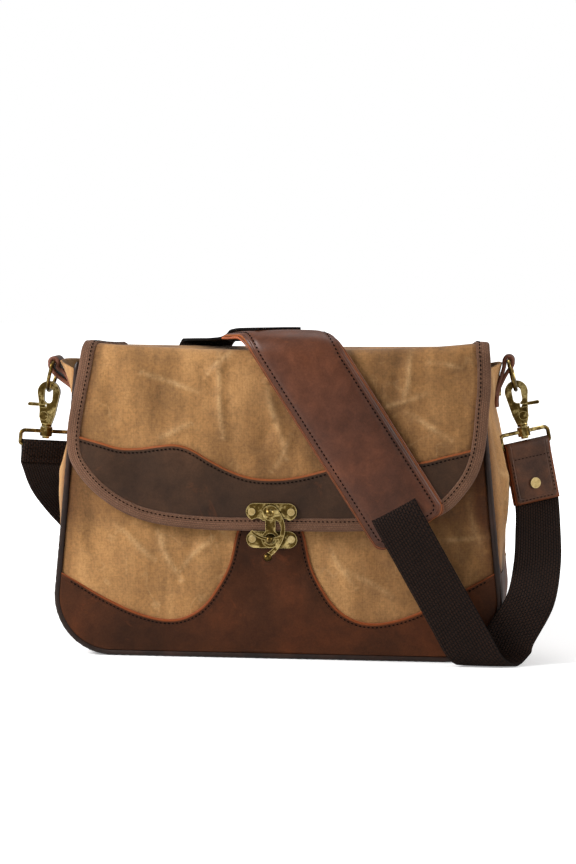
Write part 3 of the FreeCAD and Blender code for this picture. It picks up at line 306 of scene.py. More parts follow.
def clothSheet(columns, rows, place, flat, closed=False):
    # a flat grid moved into shape; its cloth map keeps real lengths in metres
    bm = bmesh.new()
    bmesh.ops.create_grid(bm, x_segments=columns, y_segments=rows, size=0.5)
    clothMap = bm.loops.layers.uv.new("cloth")
    start = {v: (v.co.x + 0.5, v.co.y + 0.5) for v in bm.verts}
    for face in bm.faces:
        for loop in face.loops:
            along, across = flat(*start[loop.vert])
            loop[clothMap].uv = (mm(along), mm(across))
    for v, (a, b) in start.items():
        v.co = Vector(place(a, b)) * 0.001
    if closed:
        bmesh.ops.remove_doubles(bm, verts=bm.verts, dist=mm(0.01))
        bmesh.ops.recalc_face_normals(bm, faces=bm.faces)
    return bm


def finishPiece(name, bm, materials, body=None, node=None, marks=None, thick=None, front=None):
    # the face nearest to front is made to look forwards; thick is (depth, offset), rim in the last material
    mesh = bpy.data.meshes.new(name)
    bm.to_mesh(mesh)
    bm.free()
    for polygon in mesh.polygons:
        polygon.use_smooth = True
    piece = bpy.data.objects.new(name, mesh)
    bpy.context.scene.collection.objects.link(piece)
    for material in materials:
        mesh.materials.append(material)
    if node:
        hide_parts(node)
    if body:
        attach(piece, body)
    if front:
        probe = Vector(front) * 0.001
        if min(mesh.polygons, key=lambda f: (f.center - probe).length).normal.y > 0:
            mesh.flip_normals()
    for key, value in (marks or {}).items():
        # a number kept at each point for the materials to read
        layer = mesh.attributes.new(key, "FLOAT", "POINT")
        layer.data.foreach_set("value", [value(v.co * 1000) for v in mesh.vertices])
    if thick:
        solid = piece.modifiers.new("thickness", "SOLIDIFY")
        solid.thickness = mm(thick[0])
        solid.offset = thick[1]
        solid.use_even_offset = True
        solid.material_offset_rim = len(materials) - 1
    return piece


def rimFrom(lines, reach=12.0):
    # how far a point is from the nearest cut edge, 1 at reach and beyond
    points = [p for line in lines for p in line]
    tree = KDTree(len(points))
    for i, p in enumerate(points):
        tree.insert(p, i)
    tree.balance()
    return lambda co: min(1.0, tree.find(co)[2] / reach)


def hermite(t, start, end, startSlope, endSlope):
    return ((2 * t**3 - 3 * t**2 + 1) * start + (t**3 - 2 * t**2 + t) * startSlope
            + (3 * t**2 - 2 * t**3) * end + (t**3 - t**2) * endSlope)


def smoothLine(points, x):
    # a smooth curve through (x, value) points
    if x <= points[0][0]:
        return points[0][1]
    if x >= points[-1][0]:
        return points[-1][1]
    i = max(k for k in range(len(points) - 1) if points[k][0] <= x)
    (x0, y0), (x1, y1) = points[i:i + 2]
    xa, ya = points[i - 1] if i > 0 else (x0 - (x1 - x0), y0 - (y1 - y0))
    xb, yb = points[i + 2] if i + 2 < len(points) else (x1 + (x1 - x0), y1 + (y1 - y0))
    h = x1 - x0
    return hermite((x - x0) / h, y0, y1, h * (y1 - ya) / (x1 - xa), h * (yb - y0) / (xb - x0))


def smoothRun(points, count):
    # a smooth line through points of any number of values, with count steps between two of them
    made = []
    final = len(points) - 2
    for i in range(final + 1):
        four = [points[max(0, i - 1)], points[i], points[i + 1], points[min(final + 1, i + 2)]]
        d = [max(1e-3, math.dist(p[:3], q[:3])) ** 0.5 for p, q in zip(four[:-1], four[1:])]
        for k in range(count):
            row = []
            for a, b, c, e in zip(*four):
                m1 = m2 = c - b
                if i > 0:
                    m1 = d[1] * ((b - a) / d[0] - (c - a) / (d[0] + d[1]) + (c - b) / d[1])
                if i < final:
                    m2 = d[1] * ((c - b) / d[1] - (e - b) / (d[1] + d[2]) + (e - c) / d[2])
                row.append(hermite(k / count, b, c, m1, m2))
            made.append(tuple(row))
    return made + [tuple(points[-1])]


def smoothStep(low, high, x):
    t = min(1.0, max(0.0, (x - low) / (high - low)))
    return t * t * (3 - 2 * t)


def runLengths(points):
    # how far along a line each of its points lies
    lengths = [0.0]
    for p, q in zip(points[:-1], points[1:]):
        lengths.append(lengths[-1] + math.dist(p[:3], q[:3]))
    return lengths


def evenly(points, count):
    lengths = runLengths(points)
    made = []
    j = 0
    for i in range(count + 1):
        want = lengths[-1] * i / count
        while j < len(lengths) - 2 and lengths[j + 1] < want:
            j += 1
        share = (want - lengths[j]) / max(1e-9, lengths[j + 1] - lengths[j])
        made.append(tuple(a + (b - a) * share for a, b in zip(points[j], points[j + 1])))
    return made


def awayFrom(line, i, amount):
    # point i of a flat line, moved to the line's left by an amount
    a, b = line[max(0, i - 1)], line[min(len(line) - 1, i + 1)]
    dx, dz = b[0] - a[0], b[1] - a[1]
    size = math.hypot(dx, dz)
    return line[i][0] - amount * dz / size, line[i][1] + amount * dx / size


def sewn(name, path, body, material, spacing=3.3, length=2.3, radius=0.5):
    # one short rounded stitch after another along a line of (point, outward normal) in mm
    bm = bmesh.new()
    carried = 0.0
    for (p0, n0), (p1, n1) in zip(path[:-1], path[1:]):
        step = (p1 - p0).length
        if step < 1e-6:
            continue
        along = (p1 - p0).normalized()
        place = spacing - carried
        while place <= step:
            normal = n0.lerp(n1, place / step).normalized()
            side = along.cross(normal).normalized()
            middle = p0.lerp(p1, place / step) + normal * (radius * 0.5 - stitchSink)
            turn = Matrix((along, side, normal)).transposed()
            shape = (turn @ Matrix.Diagonal((length / 2, radius, radius * 0.9))).to_4x4()
            made = bmesh.ops.create_icosphere(bm, subdivisions=1, radius=mm(1.0))["verts"]
            bmesh.ops.transform(bm, matrix=Matrix.Translation(middle * 0.001) @ shape, verts=made)
            place += spacing
        carried = (carried + step) % spacing
    return finishPiece(name, bm, [material], body)


stitchSink, seamIn = 0.1, 3.4
forward = Vector((0, -1, 0))
bagBox = {"cornerX": 131.2, "radius": 42.0, "foot": 5.2, "lean": math.radians(5.5), "frontY": -60.0,
    "backY": 60.0, "frontTop": 240.0, "backTop": 238.5, "side": 5.2, "halfDepth": 57.0, "panelMap": 170,
    "panelThick": 2.0, "sideThick": 1.8, "wrapThick": 1.6}
clasp = {"x": -3.0, "lowerZ": 96, "upperZ": 118}


def arcAt(offset):
    # the corner's circle grown by offset: its radius, and the heights of its middle and of the place where
    # the leaning side leaves it
    reach = bagBox["radius"] + offset
    centreZ = bagBox["foot"] + bagBox["radius"]
    return reach, centreZ, centreZ + reach * math.sin(bagBox["lean"])


def sideX(z, offset):
    reach, centreZ, touchZ = arcAt(offset)
    if z >= touchZ:
        lean = bagBox["lean"]
        return bagBox["cornerX"] + reach * math.cos(lean) - (z - touchZ) * math.tan(lean)
    return bagBox["cornerX"] + math.sqrt(max(0.0, reach**2 - (z - centreZ) ** 2))


def uPath(offset, top, count):
    # points down one side, round the corners and up the other, evenly spaced, right to left
    reach, centreZ, touchZ = arcAt(offset)
    corner, lean = bagBox["cornerX"], bagBox["lean"]
    falling = [top + (touchZ - top) * i / 60 for i in range(60)]
    fine = [(sideX(z, offset), z) for z in falling]
    for i in range(61):
        a = lean - (lean + math.pi / 2) * i / 60
        fine.append((corner + reach * math.cos(a), centreZ + reach * math.sin(a)))
    fine += [(corner * (1 - i / 40), centreZ - reach) for i in range(1, 41)]
    fine += [(-x, z) for x, z in reversed(fine[:-1])]
    return evenly(fine, count)


# creases pressed into the canvas: two ends, width and height in mm (down is negative)
frontCreases = [
    (-128, 104, -96, 78, 4, 1.3), (-120, 96, -70, 90, 5, -1.2), (-95, 100, -76, 62, 4, 1.2),
    (-66, 88, -82, 52, 5, -1.2), (-52, 96, -76, 70, 4, 1.1), (-150, 96, -140, 74, 5, -1.2),
    (44, 88, 62, 58, 4, 1.2), (60, 96, 96, 66, 5, -1.3), (58, 72, 92, 52, 4, 1.2),
    (78, 98, 104, 84, 4, 1.2), (150, 130, 162, 88, 5, 1.4), (134, 112, 150, 84, 5, -1.3),
    (128, 96, 168, 100, 4, 1.0)]
flapCreases = [
    (-46, 244, -40, 176, 4, 1.7), (-58, 232, -36, 206, 5, -1.5), (-34, 246, -52, 226, 4, 1.4),
    (-6, 222, 8, 160, 5, 1.8), (0, 188, -14, 164, 5, -1.6), (14, 178, -2, 150, 4, 1.5),
    (-120, 206, -66, 186, 5, -1.1), (-104, 226, -60, 212, 4, 0.9), (-134, 234, -128, 190, 6, -1.2),
    (-90, 176, -66, 186, 4, 1.0), (108, 246, 100, 206, 4, 1.5), (96, 224, 150, 214, 5, -1.4),
    (122, 236, 146, 232, 4, 1.2), (104, 196, 138, 176, 5, 1.4), (140, 226, 150, 180, 5, -1.3),
    (84, 200, 120, 212, 4, 1.2), (112, 176, 152, 186, 4, -1.1), (-20, 240, 10, 232, 5, -1.5)]
sideCreases = [
    (-40, 228, -8, 196, 5, 1.6), (-46, 190, -36, 120, 6, -1.8), (-20, 176, -30, 90, 5, 1.6),
    (10, 190, 20, 110, 6, -1.6), (34, 220, 30, 150, 5, 1.5), (-44, 150, 20, 132, 5, 1.2),
    (-30, 104, 30, 92, 5, -1.3)]


def creaseAt(folds, x, z):
    # height of the pressed folds at a place, and how white they are rubbed there
    height = 0.0
    mark = 0.0
    for x0, z0, x1, z1, width, rise in folds:
        dx, dz = x1 - x0, z1 - z0
        t = ((x - x0) * dx + (z - z0) * dz) / (dx * dx + dz * dz)
        clear = min(1.0, max(0.0, t))
        wander = 2.5 * math.sin(t * 5.0 + x0)
        off = math.hypot(x - x0 - clear * dx + wander * 0.5, z - z0 - clear * dz)
        near = math.exp(-(off / width) ** 2)
        taper = math.sin(math.pi * min(0.97, max(0.03, clear))) ** 0.5 if 0 <= t <= 1 else near
        height += rise * near * taper
        if rise > 0:
            mark = max(mark, math.exp(-(off / (width * 0.55)) ** 2) * near * taper)
    return height, mark


def clearOfClasp(x, z):
    # 0 where the lower plate is fixed, 1 away from it
    return smoothStep(24, 60, math.hypot(x - clasp["x"], z - clasp["lowerZ"]))


def frontBulge(x, z):
    # fullness below the flap
    across = max(0.0, 1 - (x / sideX(z, 0)) ** 2)
    low = 4.2 * across * smoothStep(4, 34, z) * (1 - smoothStep(72, 108, z))
    high = 1.2 * across * smoothStep(72, 108, z) * (1 - smoothStep(200, 240, z))
    slow = noise.noise(Vector((x / 55, z / 48, 3.1))) * 1.28 * smoothStep(6, 30, z) * across
    return (low + high + slow) * clearOfClasp(x, z)


def frontY(x, z, withCreases=True):
    crease = creaseAt(frontCreases, x, z)[0] if withCreases and 40 < z < 140 else 0.0
    return bagBox["frontY"] - frontBulge(x, z) - crease * clearOfClasp(x, z)


def backFaceY(x, z, a, b):
    sag = 1.6 * math.sin(math.pi * b) * (1 - (2 * a - 1) ** 2)
    return bagBox["backY"] + sag + noise.noise(Vector((a * 7, b * 5, 9))) * 0.9 * math.sin(math.pi * a)


def panelSheet(columns, rows, top, depthAt, way):
    # a wall of the box between its leaning sides, its rows packed closer round the lower corners
    def height(b):
        return bagBox["foot"] + (top - bagBox["foot"]) * (b * 0.55 + b**2.2 * 0.45)

    def place(a, b):
        z = height(b)
        x = (2 * a - 1) * sideX(z, 0)
        return x, depthAt(x, z, a, b), z
    return clothSheet(columns, rows, place,
                      lambda a, b: (way * (2 * a - 1) * bagBox["panelMap"], height(b)))


# painted shade: darker within 16 mm of the leaning sides, by the seams
def sideShade(co):
    return 1 - smoothStep(0, 16, sideX(co.z, 0) - abs(co.x))


# painted shade on the front: darker by the sides, under the flap's edge and towards the right, where less
# light falls
def frontShade(co):
    return min(1.0, 0.45 * sideShade(co) + 0.35 * smoothStep(98, 118, co.z)
               + 0.4 * smoothStep(10, 90, co.x))


finishPiece("frontPanel", panelSheet(150, 110, bagBox["frontTop"], lambda x, z, a, b: frontY(x, z), 1),
    [canvas], "bag", "front_panel", {"crease": lambda co: creaseAt(frontCreases, co.x, co.z)[1],
    "shade": frontShade}, (bagBox["panelThick"], -1.0))
# painted shade on the back: darker by the sides
finishPiece("backPanel", panelSheet(90, 80, bagBox["backTop"], backFaceY, -1), [canvas], "bag",
    "back_panel", {"crease": lambda co: 0.0, "shade": lambda co: 0.7 * sideShade(co)},
    (bagBox["panelThick"], 1.0))

sidePlaces = {"right": {"sign": 1, "flare": 13.5, "barX": 179.5, "barZ": 234.0, "lean": math.radians(11)},
    "left": {"sign": -1, "flare": 22.5, "barX": 188.5, "barZ": 230.5, "lean": math.radians(5)}}
gusset = {"edge": 59.2, "turned": 3.2, "foot": 70, "height": 162, "full": 7.0}


def turnedIn(y):
    # 1 at the seam, where the edge of a side runs in to the piping
    return smoothStep(55.6, gusset["edge"], abs(y)) ** 1.5


def gussetX(y, z, flare):
    share = abs(y) / bagBox["halfDepth"]
    levels = [(72, 0.6), (120, 3.0), (165, 3.4), (200, 4.0)]
    bow = smoothLine(levels, z) if z < 200 else 4.0 + (flare - 4.0) * ((z - 200) / 32) ** 1.15
    extra = gusset["full"] * math.exp(-((z - 138) / 42) ** 2) * (1 - share**4)
    return sideX(z, bagBox["side"]) + bow * (1 - share**2) + extra


def sidePanel(side):
    sign, flare = sidePlaces[side]["sign"], sidePlaces[side]["flare"]

    def place(a, b):
        y = (2 * a - 1) * gusset["edge"]
        z = gusset["foot"] + gusset["height"] * b
        fade = (1 - (y / gusset["edge"]) ** 4) * math.exp(-max(0.0, z - 185) / 14)
        crease = creaseAt(sideCreases, y, z)[0] * fade
        dip = 5.0 * smoothStep(226, 234, z) * (y / bagBox["halfDepth"]) ** 2
        x = gussetX(min(bagBox["halfDepth"], abs(y)), z, flare) + crease - gusset["turned"] * turnedIn(y)
        return sign * x, y, z - dip
    # painted shade: darker by the seams at the gusset's edges and just above the base wrap
    shade = lambda co: (0.8 * (1 - smoothStep(0, 12, 59 - abs(co.y)))
                        + 0.5 * (1 - smoothStep(72, 82, co.z)))
    finishPiece(side + "Side", clothSheet(60, 90, place, lambda a, b: (a * 118, b * gusset["height"])),
        [canvas], "bag", side + "_gusset", {"crease": lambda co: creaseAt(sideCreases, co.y, co.z)[1],
        "shade": shade}, (bagBox["sideThick"], -sign))


for side in sidePlaces:
    sidePanel(side)

wrap = {"top": 74.5, "steps": 220, "stitchZ": 71.0, "stitchOut": 5.5}
basePath = uPath(3.7, wrap["top"], wrap["steps"])
seamPath = uPath(2.2, wrap["top"], wrap["steps"])


def wrapPoint(a, b):
    # the wrap's two long edges turn in towards the piping
    i = round(a * wrap["steps"])
    v = 2 * b - 1
    share = turnedIn(v * gusset["edge"])
    x, z = (p + (q - p) * share for p, q in zip(basePath[i], seamPath[i]))
    puff = 0.7 * (1 - v * v) * smoothStep(20, 60, z)
    return x + math.copysign(puff, x), v * gusset["edge"], max(bagBox["wrapThick"] + 0.05, z)


wrapRim = [Vector((s * sideX(wrap["top"], wrap["stitchOut"]), -57 + i, wrap["top"])) for s in (-1, 1)
    for i in range(115)]
finishPiece("baseWrap", clothSheet(wrap["steps"], 40, wrapPoint, lambda a, b: (a * 560, b * 114)),
    [baseLeather, edgeBrown], "bag", "base_gusset", {"rim": rimFrom([wrapRim])},
    (bagBox["wrapThick"], 1.0))
for side, here in sidePlaces.items():
    x = here["sign"] * (sideX(wrap["stitchZ"], wrap["stitchOut"]) + 0.1)
    line = [(Vector((x, -55 + i * 2, wrap["stitchZ"])), Vector((here["sign"], 0, 0))) for i in range(56)]
    sewn(side + "BaseStitch", line, "bag", threadDark)

cordLooks = {"radius": 2.4, "steps": 260, "middle": 2.6, "y": 59.8}


def piping(name, y, top, node):
    steps = cordLooks["steps"]
    path = uPath(cordLooks["middle"], top, steps)

    def place(a, b):
        i = round(b * steps)
        r = cordLooks["radius"] * (1 + 0.05 * math.sin(b * 900) if 0 < b < 1 else 0.3)
        x, z = awayFrom(path, i, math.cos(2 * math.pi * a) * r)
        return x, y + math.sin(2 * math.pi * a) * r, max(0.1, z)
    finishPiece(name, clothSheet(14, steps, place, lambda a, b: (b * 780, a * 15), True), [pipingLeather],
        "bag", node, {"rim": lambda co: 1.0})


piping("frontPiping", -cordLooks["y"], 234, "front_piping")
piping("backPiping", cordLooks["y"], 232.5, "back_piping")

# leather over the lower front, with two dips and a pillar under the clasp
trim = {"pillarX": -4.5, "wide": 169.9, "steps": 260, "out": 0.15, "grow": 0.4, "thick": 1.35,
    "half": [(0, 110), (22, 109), (26.5, 101), (32, 77), (40, 60), (52, 43), (66, 33.5), (80, 30.5),
    (95, 32.3), (113, 38), (136, 49), (155, 60), (176, 72)]}


def trimTop(x):
    return smoothLine(trim["half"], abs(x - trim["pillarX"]))


def trimX(a):
    t = 2 * a - 1
    return math.copysign(abs(t) ** 0.9, t) * trim["wide"]


def trimPlace(a, b):
    x = trimX(a)
    reach, level, _ = arcAt(trim["grow"])
    over = max(0.0, abs(x) - bagBox["cornerX"])
    low = level - math.sqrt(max(0.0, reach**2 - over**2))
    z = low + (max(low + 0.5, trimTop(x)) - low) * b
    if z > 30:
        edge = sideX(z, trim["grow"])
        if z < level + 4:
            edge = bagBox["cornerX"] + math.sqrt(reach**2 - (level - z) ** 2)
        x *= 1 + (edge / trim["wide"] - 1) * (abs(x) / trim["wide"]) ** 8
    return x, frontY(x, z, False) - trim["out"], z


trimLine = [(x, trimTop(x)) for x in [-172 + 0.5 * i for i in range(689)]]
trimRim = rimFrom([[Vector((x, frontY(x, z, False) - trim["out"], z)) for x, z in trimLine]])
finishPiece("frontTrim", clothSheet(trim["steps"], 60, trimPlace, lambda a, b: (trimX(a), b * 90)),
    [baseLeather, edgeOrange], "bag", "front_leather_trim", {"rim": trimRim}, (trim["thick"], 1.0))
trimSeam = [awayFrom(trimLine, i, -seamIn) for i in range(1, len(trimLine) - 1)]
trimSeam = [(x, z) for x, z in trimSeam if abs(x) < sideX(z, -5)]
trimStitch = [(Vector((x, frontY(x, z, False) - trim["out"] - 1.4, z)), forward) for x, z in trimSeam]
sewn("trimStitch", trimStitch, "bag", threadDark, 3.3, 2.2, 0.62)
print("bag box made")

flap = {
    "frontY": -67.4, "foldZ": 241.0, "fold": 9.0, "backEnd": 374.3, "slope": 0.067, "sag": 6.0, "canvas": 2.0,
    "lining": 1.0, "band": 1.4, "air": 0.1, "inset": 1.3, "tape": 10.5,
    "right": [
        (166.4, 254), (167.4, 241), (168, 232), (168, 215), (166.6, 197.6), (165.2, 180), (162, 160),
        (156.3, 145.2), (146.8, 131.5), (137.2, 121.6), (122, 113), (100, 106.6), (60, 103.3),
        (0, 102.8)],
    "left": [
        (151.8, 254), (153.6, 243), (155.5, 232), (160.3, 208), (164.4, 186), (165.4, 170),
        (162.8, 156.4), (157.5, 147), (149.1, 137), (136.7, 125.8), (120, 115.5), (100, 108.4),
        (60, 103.3), (0, 102.8)],
    "wave": [
        (-175, 181), (-153.6, 174.8), (-139, 171), (-123, 166.8), (-107, 166.8), (-91, 169),
        (-79, 170), (-67, 167), (-51, 157.8), (-35.6, 150), (-19.8, 144.8), (0, 143.5), (20, 146),
        (39, 151), (60, 157.5), (80, 160.5), (98, 159), (114, 158.4), (133, 163.2), (153.7, 168.5),
        (175, 176)]}


def flapLift(x, w):
    # how far the canvas stands out of its plain fold: slow swells and pressed folds
    if w > flap["foldZ"] + 14:
        swell = noise.noise(Vector((x / 60, w / 50, 1.7))) * 1.6
        return swell * smoothStep(255, 275, w) * (1 - smoothStep(345, 370, w))
    awayFromClasp = smoothStep(40, 78, math.hypot(x - clasp["x"], w - clasp["upperZ"]))
    quiet = smoothStep(103, 135, w) * (1 - smoothStep(228, 246, w)) * awayFromClasp
    rim = smoothStep(0, 22, edgeAt(w, 1 if x > 0 else -1) - abs(x))
    swell = 1.8 * (1 - (x / 172) ** 2) + noise.noise(Vector((x / 48, w / 40, 5.2))) * 2.2
    fold = creaseAt(flapCreases, x, w)[0] * smoothStep(160, 176, w) * (1 - smoothStep(236, 247, w))
    return (swell * quiet + fold) * rim


def onFlap(x, w, out):
    # w counts up the front, round the fold and back over the top
    rise = flapLift(x, w) + out
    reach = flap["fold"] + rise
    middleY = flap["frontY"] + flap["fold"]
    over = w - flap["foldZ"] - flap["fold"] * math.pi / 2
    if w <= flap["foldZ"]:
        p = Vector((x, flap["frontY"] - rise, w))
    elif over < 0:
        a = (w - flap["foldZ"]) / flap["fold"]
        p = Vector((x, middleY - reach * math.cos(a), flap["foldZ"] + reach * math.sin(a)))
    else:
        p = Vector((x, middleY + over, flap["foldZ"] + reach - flap["slope"] * over))
    middle = max(0.0, 1 - (x / 152) ** 2)
    p.z -= flap["sag"] * middle**0.8 * smoothStep(190, 250, p.z) * (1 - 0.8 * smoothStep(20, 60, p.y))
    return p


def flapOutline():
    # right back corner, down the front, along its foot and up to the left back corner
    sides = []
    for name, wide in (("right", 156.0), ("left", 151.0)):
        slant = (flap[name][0][0] - wide) / 119.0
        over = [flap["backEnd"] - i * 4 for i in range(30)]
        sides.append([(wide + slant * (flap["backEnd"] - w), w) for w in over]
                     + smoothRun(flap[name], 14))
    return sides[0] + [(-x, w) for x, w in reversed(sides[1][:-1])]


outline = evenly(flapOutline(), 900)
sideTables = {sign: sorted((w, abs(x)) for x, w in outline if w > 186 and (x > 0) == (sign > 0))
    for sign in (1, -1)}


def edgeAt(w, sign):
    # half width of the flap on one side
    table = sideTables[sign]
    if w <= table[0][0]:
        return table[0][1]
    low, high = 0, len(table) - 1
    while high - low > 1:
        middle = (low + high) // 2
        low, high = (middle, high) if table[middle][0] <= w else (low, middle)
    share = (w - table[low][0]) / (table[high][0] - table[low][0])
    return table[low][1] + (table[high][1] - table[low][1]) * min(1.0, share)


def inset(amount):
    # the outline moved inwards by a steady amount
    return [awayFrom(outline, i, -amount) for i in range(len(outline))]


def patch(top, bottom, left, right, a, t):
    # a four-sided patch between lines, each walked by a share
    def walk(line, share):
        place = share * (len(line) - 1)
        i = min(len(line) - 2, int(place))
        return Vector(line[i]).lerp(Vector(line[i + 1]), place - i)
    corners = (Vector(top[0]) * (1 - a) * (1 - t) + Vector(top[-1]) * a * (1 - t)
               + Vector(bottom[0]) * (1 - a) * t + Vector(bottom[-1]) * a * t)
    return (walk(top, a) * (1 - t) + walk(bottom, a) * t
            + walk(left, t) * (1 - a) + walk(right, t) * a - corners)


def lowerPatch(amount, topLine):
    # side and foot lines below topLine; the patch's lower corners are where the outline runs at a slant
    line = inset(amount)
    half, last = (len(line) - 1) // 2, len(line) - 1
    rightEnd = min(range(half), key=lambda i: math.dist(line[i], (154, 143)))
    leftEnd = min(range(half, last), key=lambda i: math.dist(line[i], (-155, 144)))
    rightStart = min(range(rightEnd), key=lambda i: abs(line[i][1] - topLine[-1][1]))
    leftStart = min(range(leftEnd, last), key=lambda i: abs(line[i][1] - topLine[0][1]))
    right = evenly(line[rightStart:rightEnd + 1], 60)
    left = evenly(line[leftEnd:leftStart + 1][::-1], 60)
    return evenly(line[rightEnd:leftEnd + 1], 200)[::-1], left, right


def flapSheet(out, columns, rows):
    foldZ, amount = flap["foldZ"], flap["inset"]
    ends = [edgeAt(foldZ, s) - amount for s in (-1, 1)]
    topLine = [(-ends[0] + (ends[0] + ends[1]) * i / 100, foldZ) for i in range(101)]
    sides = lowerPatch(amount, topLine)
    overRows = round(rows * 0.34)

    def spot(a, b):
        row = b * rows
        if row >= overRows:
            return patch(topLine, *sides, a, (row - overRows) / (rows - overRows))
        w = flap["backEnd"] + (foldZ - flap["backEnd"]) * (row / overRows) ** 0.8
        low, high = amount - edgeAt(w, -1), edgeAt(w, 1) - amount
        return Vector((low + (high - low) * a, w))
    return clothSheet(columns, rows, lambda a, b: onFlap(*spot(a, b), out), spot)


canvasRim = rimFrom([[onFlap(x, w, 0) for x, w in inset(flap["tape"])]], 7.0)
# painted shade on the flap: darker beside the binding tape's inner edge and towards the right, where less
# light falls
canvasMarks = {"crease": lambda co: creaseAt(flapCreases, co.x, co.z)[1] if co.y < -60 else 0.0,
    "shade": lambda co: max(0.75 * (1 - canvasRim(co)), 0.3 * smoothStep(-75, 5, co.x))}
flapCanvas = finishPiece("flapCanvas", flapSheet(0.0, 170, 190), [canvas], "flap", "flap_canvas",
    canvasMarks, (flap["canvas"] - flap["air"], -1.0), (0, -67, 200))
flapLining = finishPiece("flapLining", flapSheet(-flap["canvas"] - flap["air"], 90, 100), [liningCloth],
    "flap", "flap_lining", None, (flap["lining"] - flap["air"], -1.0), (0, -64, 200))


def waveZ(x):
    return smoothLine(flap["wave"], x)


# dark leather across the foot of the flap, its top cut in a wave
bandLine = [p for p in inset(flap["inset"]) if p[1] < 200]
bandEnds = [min((p for p in bandLine if p[0] * s > 0), key=lambda p: abs(p[1] - waveZ(p[0])))[0]
    for s in (-1, 1)]
waveTop = [(x, waveZ(x))
    for x in [bandEnds[0] + (bandEnds[1] - bandEnds[0]) * i / 240 for i in range(241)]]
bandSides = lowerPatch(flap["inset"], waveTop)


def bandSpot(a, b):
    return patch(waveTop, *bandSides, a, b)


bandSheet = clothSheet(240, 56, lambda a, b: onFlap(*bandSpot(a, b), 0.05 + flap["band"]), bandSpot)
bandRim = rimFrom([[onFlap(x, w, flap["band"]) for x, w in waveTop]], 10.0)
finishPiece("flapBand", bandSheet, [bandLeather, edgeOrange], "flap", "flap_leather_band",
    {"rim": bandRim}, (flap["band"], -1.0), (0, -69, 125))
bandSeam = [awayFrom(waveTop, i, -seamIn) for i in range(1, len(waveTop) - 1)]
bandStitch = [(onFlap(x, w, flap["band"] + 0.1), forward) for x, w in bandSeam]
sewn("bandStitch", bandStitch, "flap", threadDark, 3.3, 2.3, 0.64)

# tape folded over the flap's edge: its section from the inner front edge round to the inner back edge
tapeSection = [(10.5, 1.55), (9.6, 2.35), (7.5, 2.6), (4.5, 2.65), (2.0, 2.6), (0.7, 2.1), (0.0, 0.9),
    (0.0, -2.4), (0.7, -3.6), (2.0, -4.1), (5.5, -4.2), (9.6, -4.1), (10.5, -3.5)]


def bareDrop(w):
    # above the leather band the tape lies on canvas alone
    return 1.1 * smoothStep(168, 186, w)


def tapePoint(along, across):
    i = round(along * (len(outline) - 1))
    k = across * (len(tapeSection) - 1)
    j = min(len(tapeSection) - 2, int(k))
    n, d = (p + (q - p) * (k - j) for p, q in zip(tapeSection[j], tapeSection[j + 1]))
    if d > 0:
        d -= bareDrop(outline[i][1])
    ripple = noise.noise(Vector((along * 160, across * 3, 2.5))) * 0.35 * smoothStep(0, 4, n)
    return *awayFrom(outline, i, -n), d + ripple


bindingSheet = clothSheet(450, 24, lambda a, b: onFlap(*tapePoint(a, b)), lambda a, b: (a * 900, b * 26))
finishPiece("flapBinding", bindingSheet, [bindingTape], "flap", "flap_binding", None, (0.9, -1.0),
    (170, -70, 180))
bindingStitch = []
for x, w in inset(7.9):
    up = (onFlap(x, w, 4.0) - onFlap(x, w, 2.0)).normalized()
    bindingStitch.append((onFlap(x, w, 2.55 - bareDrop(w)), up))
sewn("bindingStitch", bindingStitch, "flap", threadDark, 3.4, 2.4, 0.6)
print("flap made")

strap = {"lean": math.atan2(0.541, 0.841), "foldY": -58.4, "foldZ": 241.0, "base": 11.8, "neutral": 14.0,
    "startX": 20.55, "padHalf": 31.0, "padLow": -162.9, "padHigh": 80.9, "padRound": 9.0, "backing": 1.8,
    "stitchIn": 5.2}


def overFold(p, q, h):
    # p runs along the strap, q across it, h above the flap; the strap lies straight in the unrolled sheet
    x = strap["startX"] + q * math.cos(strap["lean"]) - p * math.sin(strap["lean"])
    run = p * math.cos(strap["lean"]) + q * math.sin(strap["lean"])
    past = run - strap["neutral"] * math.pi / 2
    reach = strap["base"] + h
    if run <= 0:
        return Vector((x, strap["foldY"] - reach, strap["foldZ"] + run))
    if past < 0:
        a = run / strap["neutral"]
        return Vector((x, strap["foldY"] - reach * math.cos(a), strap["foldZ"] + reach * math.sin(a)))
    return Vector((x, strap["foldY"] + past, strap["foldZ"] + reach - flap["slope"] * past))


def padEdge(p, grow=0.0):
    corner = strap["padRound"]
    near = min(corner, max(0.0, min(p - strap["padLow"], strap["padHigh"] - p) + grow))
    return strap["padHalf"] + grow - corner + math.sqrt(corner**2 - (corner - near) ** 2)


def padRow(b):
    # rows stand closer at the two rounded ends
    soft = 0.5 - 0.5 * math.cos(math.pi * b)
    return strap["padLow"] + (strap["padHigh"] - strap["padLow"]) * (0.72 * b + 0.28 * soft)


def padHeight(p, q, half):
    side = max(0.0, 1 - (abs(q) / half) ** 5) ** 0.55
    near = min(p - strap["padLow"], strap["padHigh"] - p)
    end = (1 - (1 - min(1.0, near / 13)) ** 3) ** 0.7 if near > 0 else 0.0
    fromLine = (abs(q) - half + strap["stitchIn"], near - strap["stitchIn"])
    furrow = sum(0.7 * math.exp(-(off / 1.6) ** 2) for off in fromLine)
    slow = noise.noise(Vector((p / 26, q / 24, 7.7))) * 0.7
    crown = (5.4 + 1.2 * (1 - (q / half) ** 2)) * (1 - 0.3 * smoothStep(5, 35, p))
    flesh = (crown + slow) * side * end
    return strap["backing"] + 0.4 + flesh - furrow * min(1.0, near / 3) * side


def padPlace(a, b):
    p = padRow(b)
    half = padEdge(p)
    v = 2 * a - 1
    q = math.copysign(abs(v) ** 0.8, v) * half
    return overFold(p, q, padHeight(p, q, half))


def backingPlace(a, b):
    p = padRow(b)
    h = strap["backing"] - 0.1 + 0.5 * noise.noise(Vector((p / 14, a * 4, 3)))
    return overFold(p, (2 * a - 1) * padEdge(p, 0.9), h)


def padFlat(a, b):
    return a * 2 * strap["padHalf"], padRow(b)


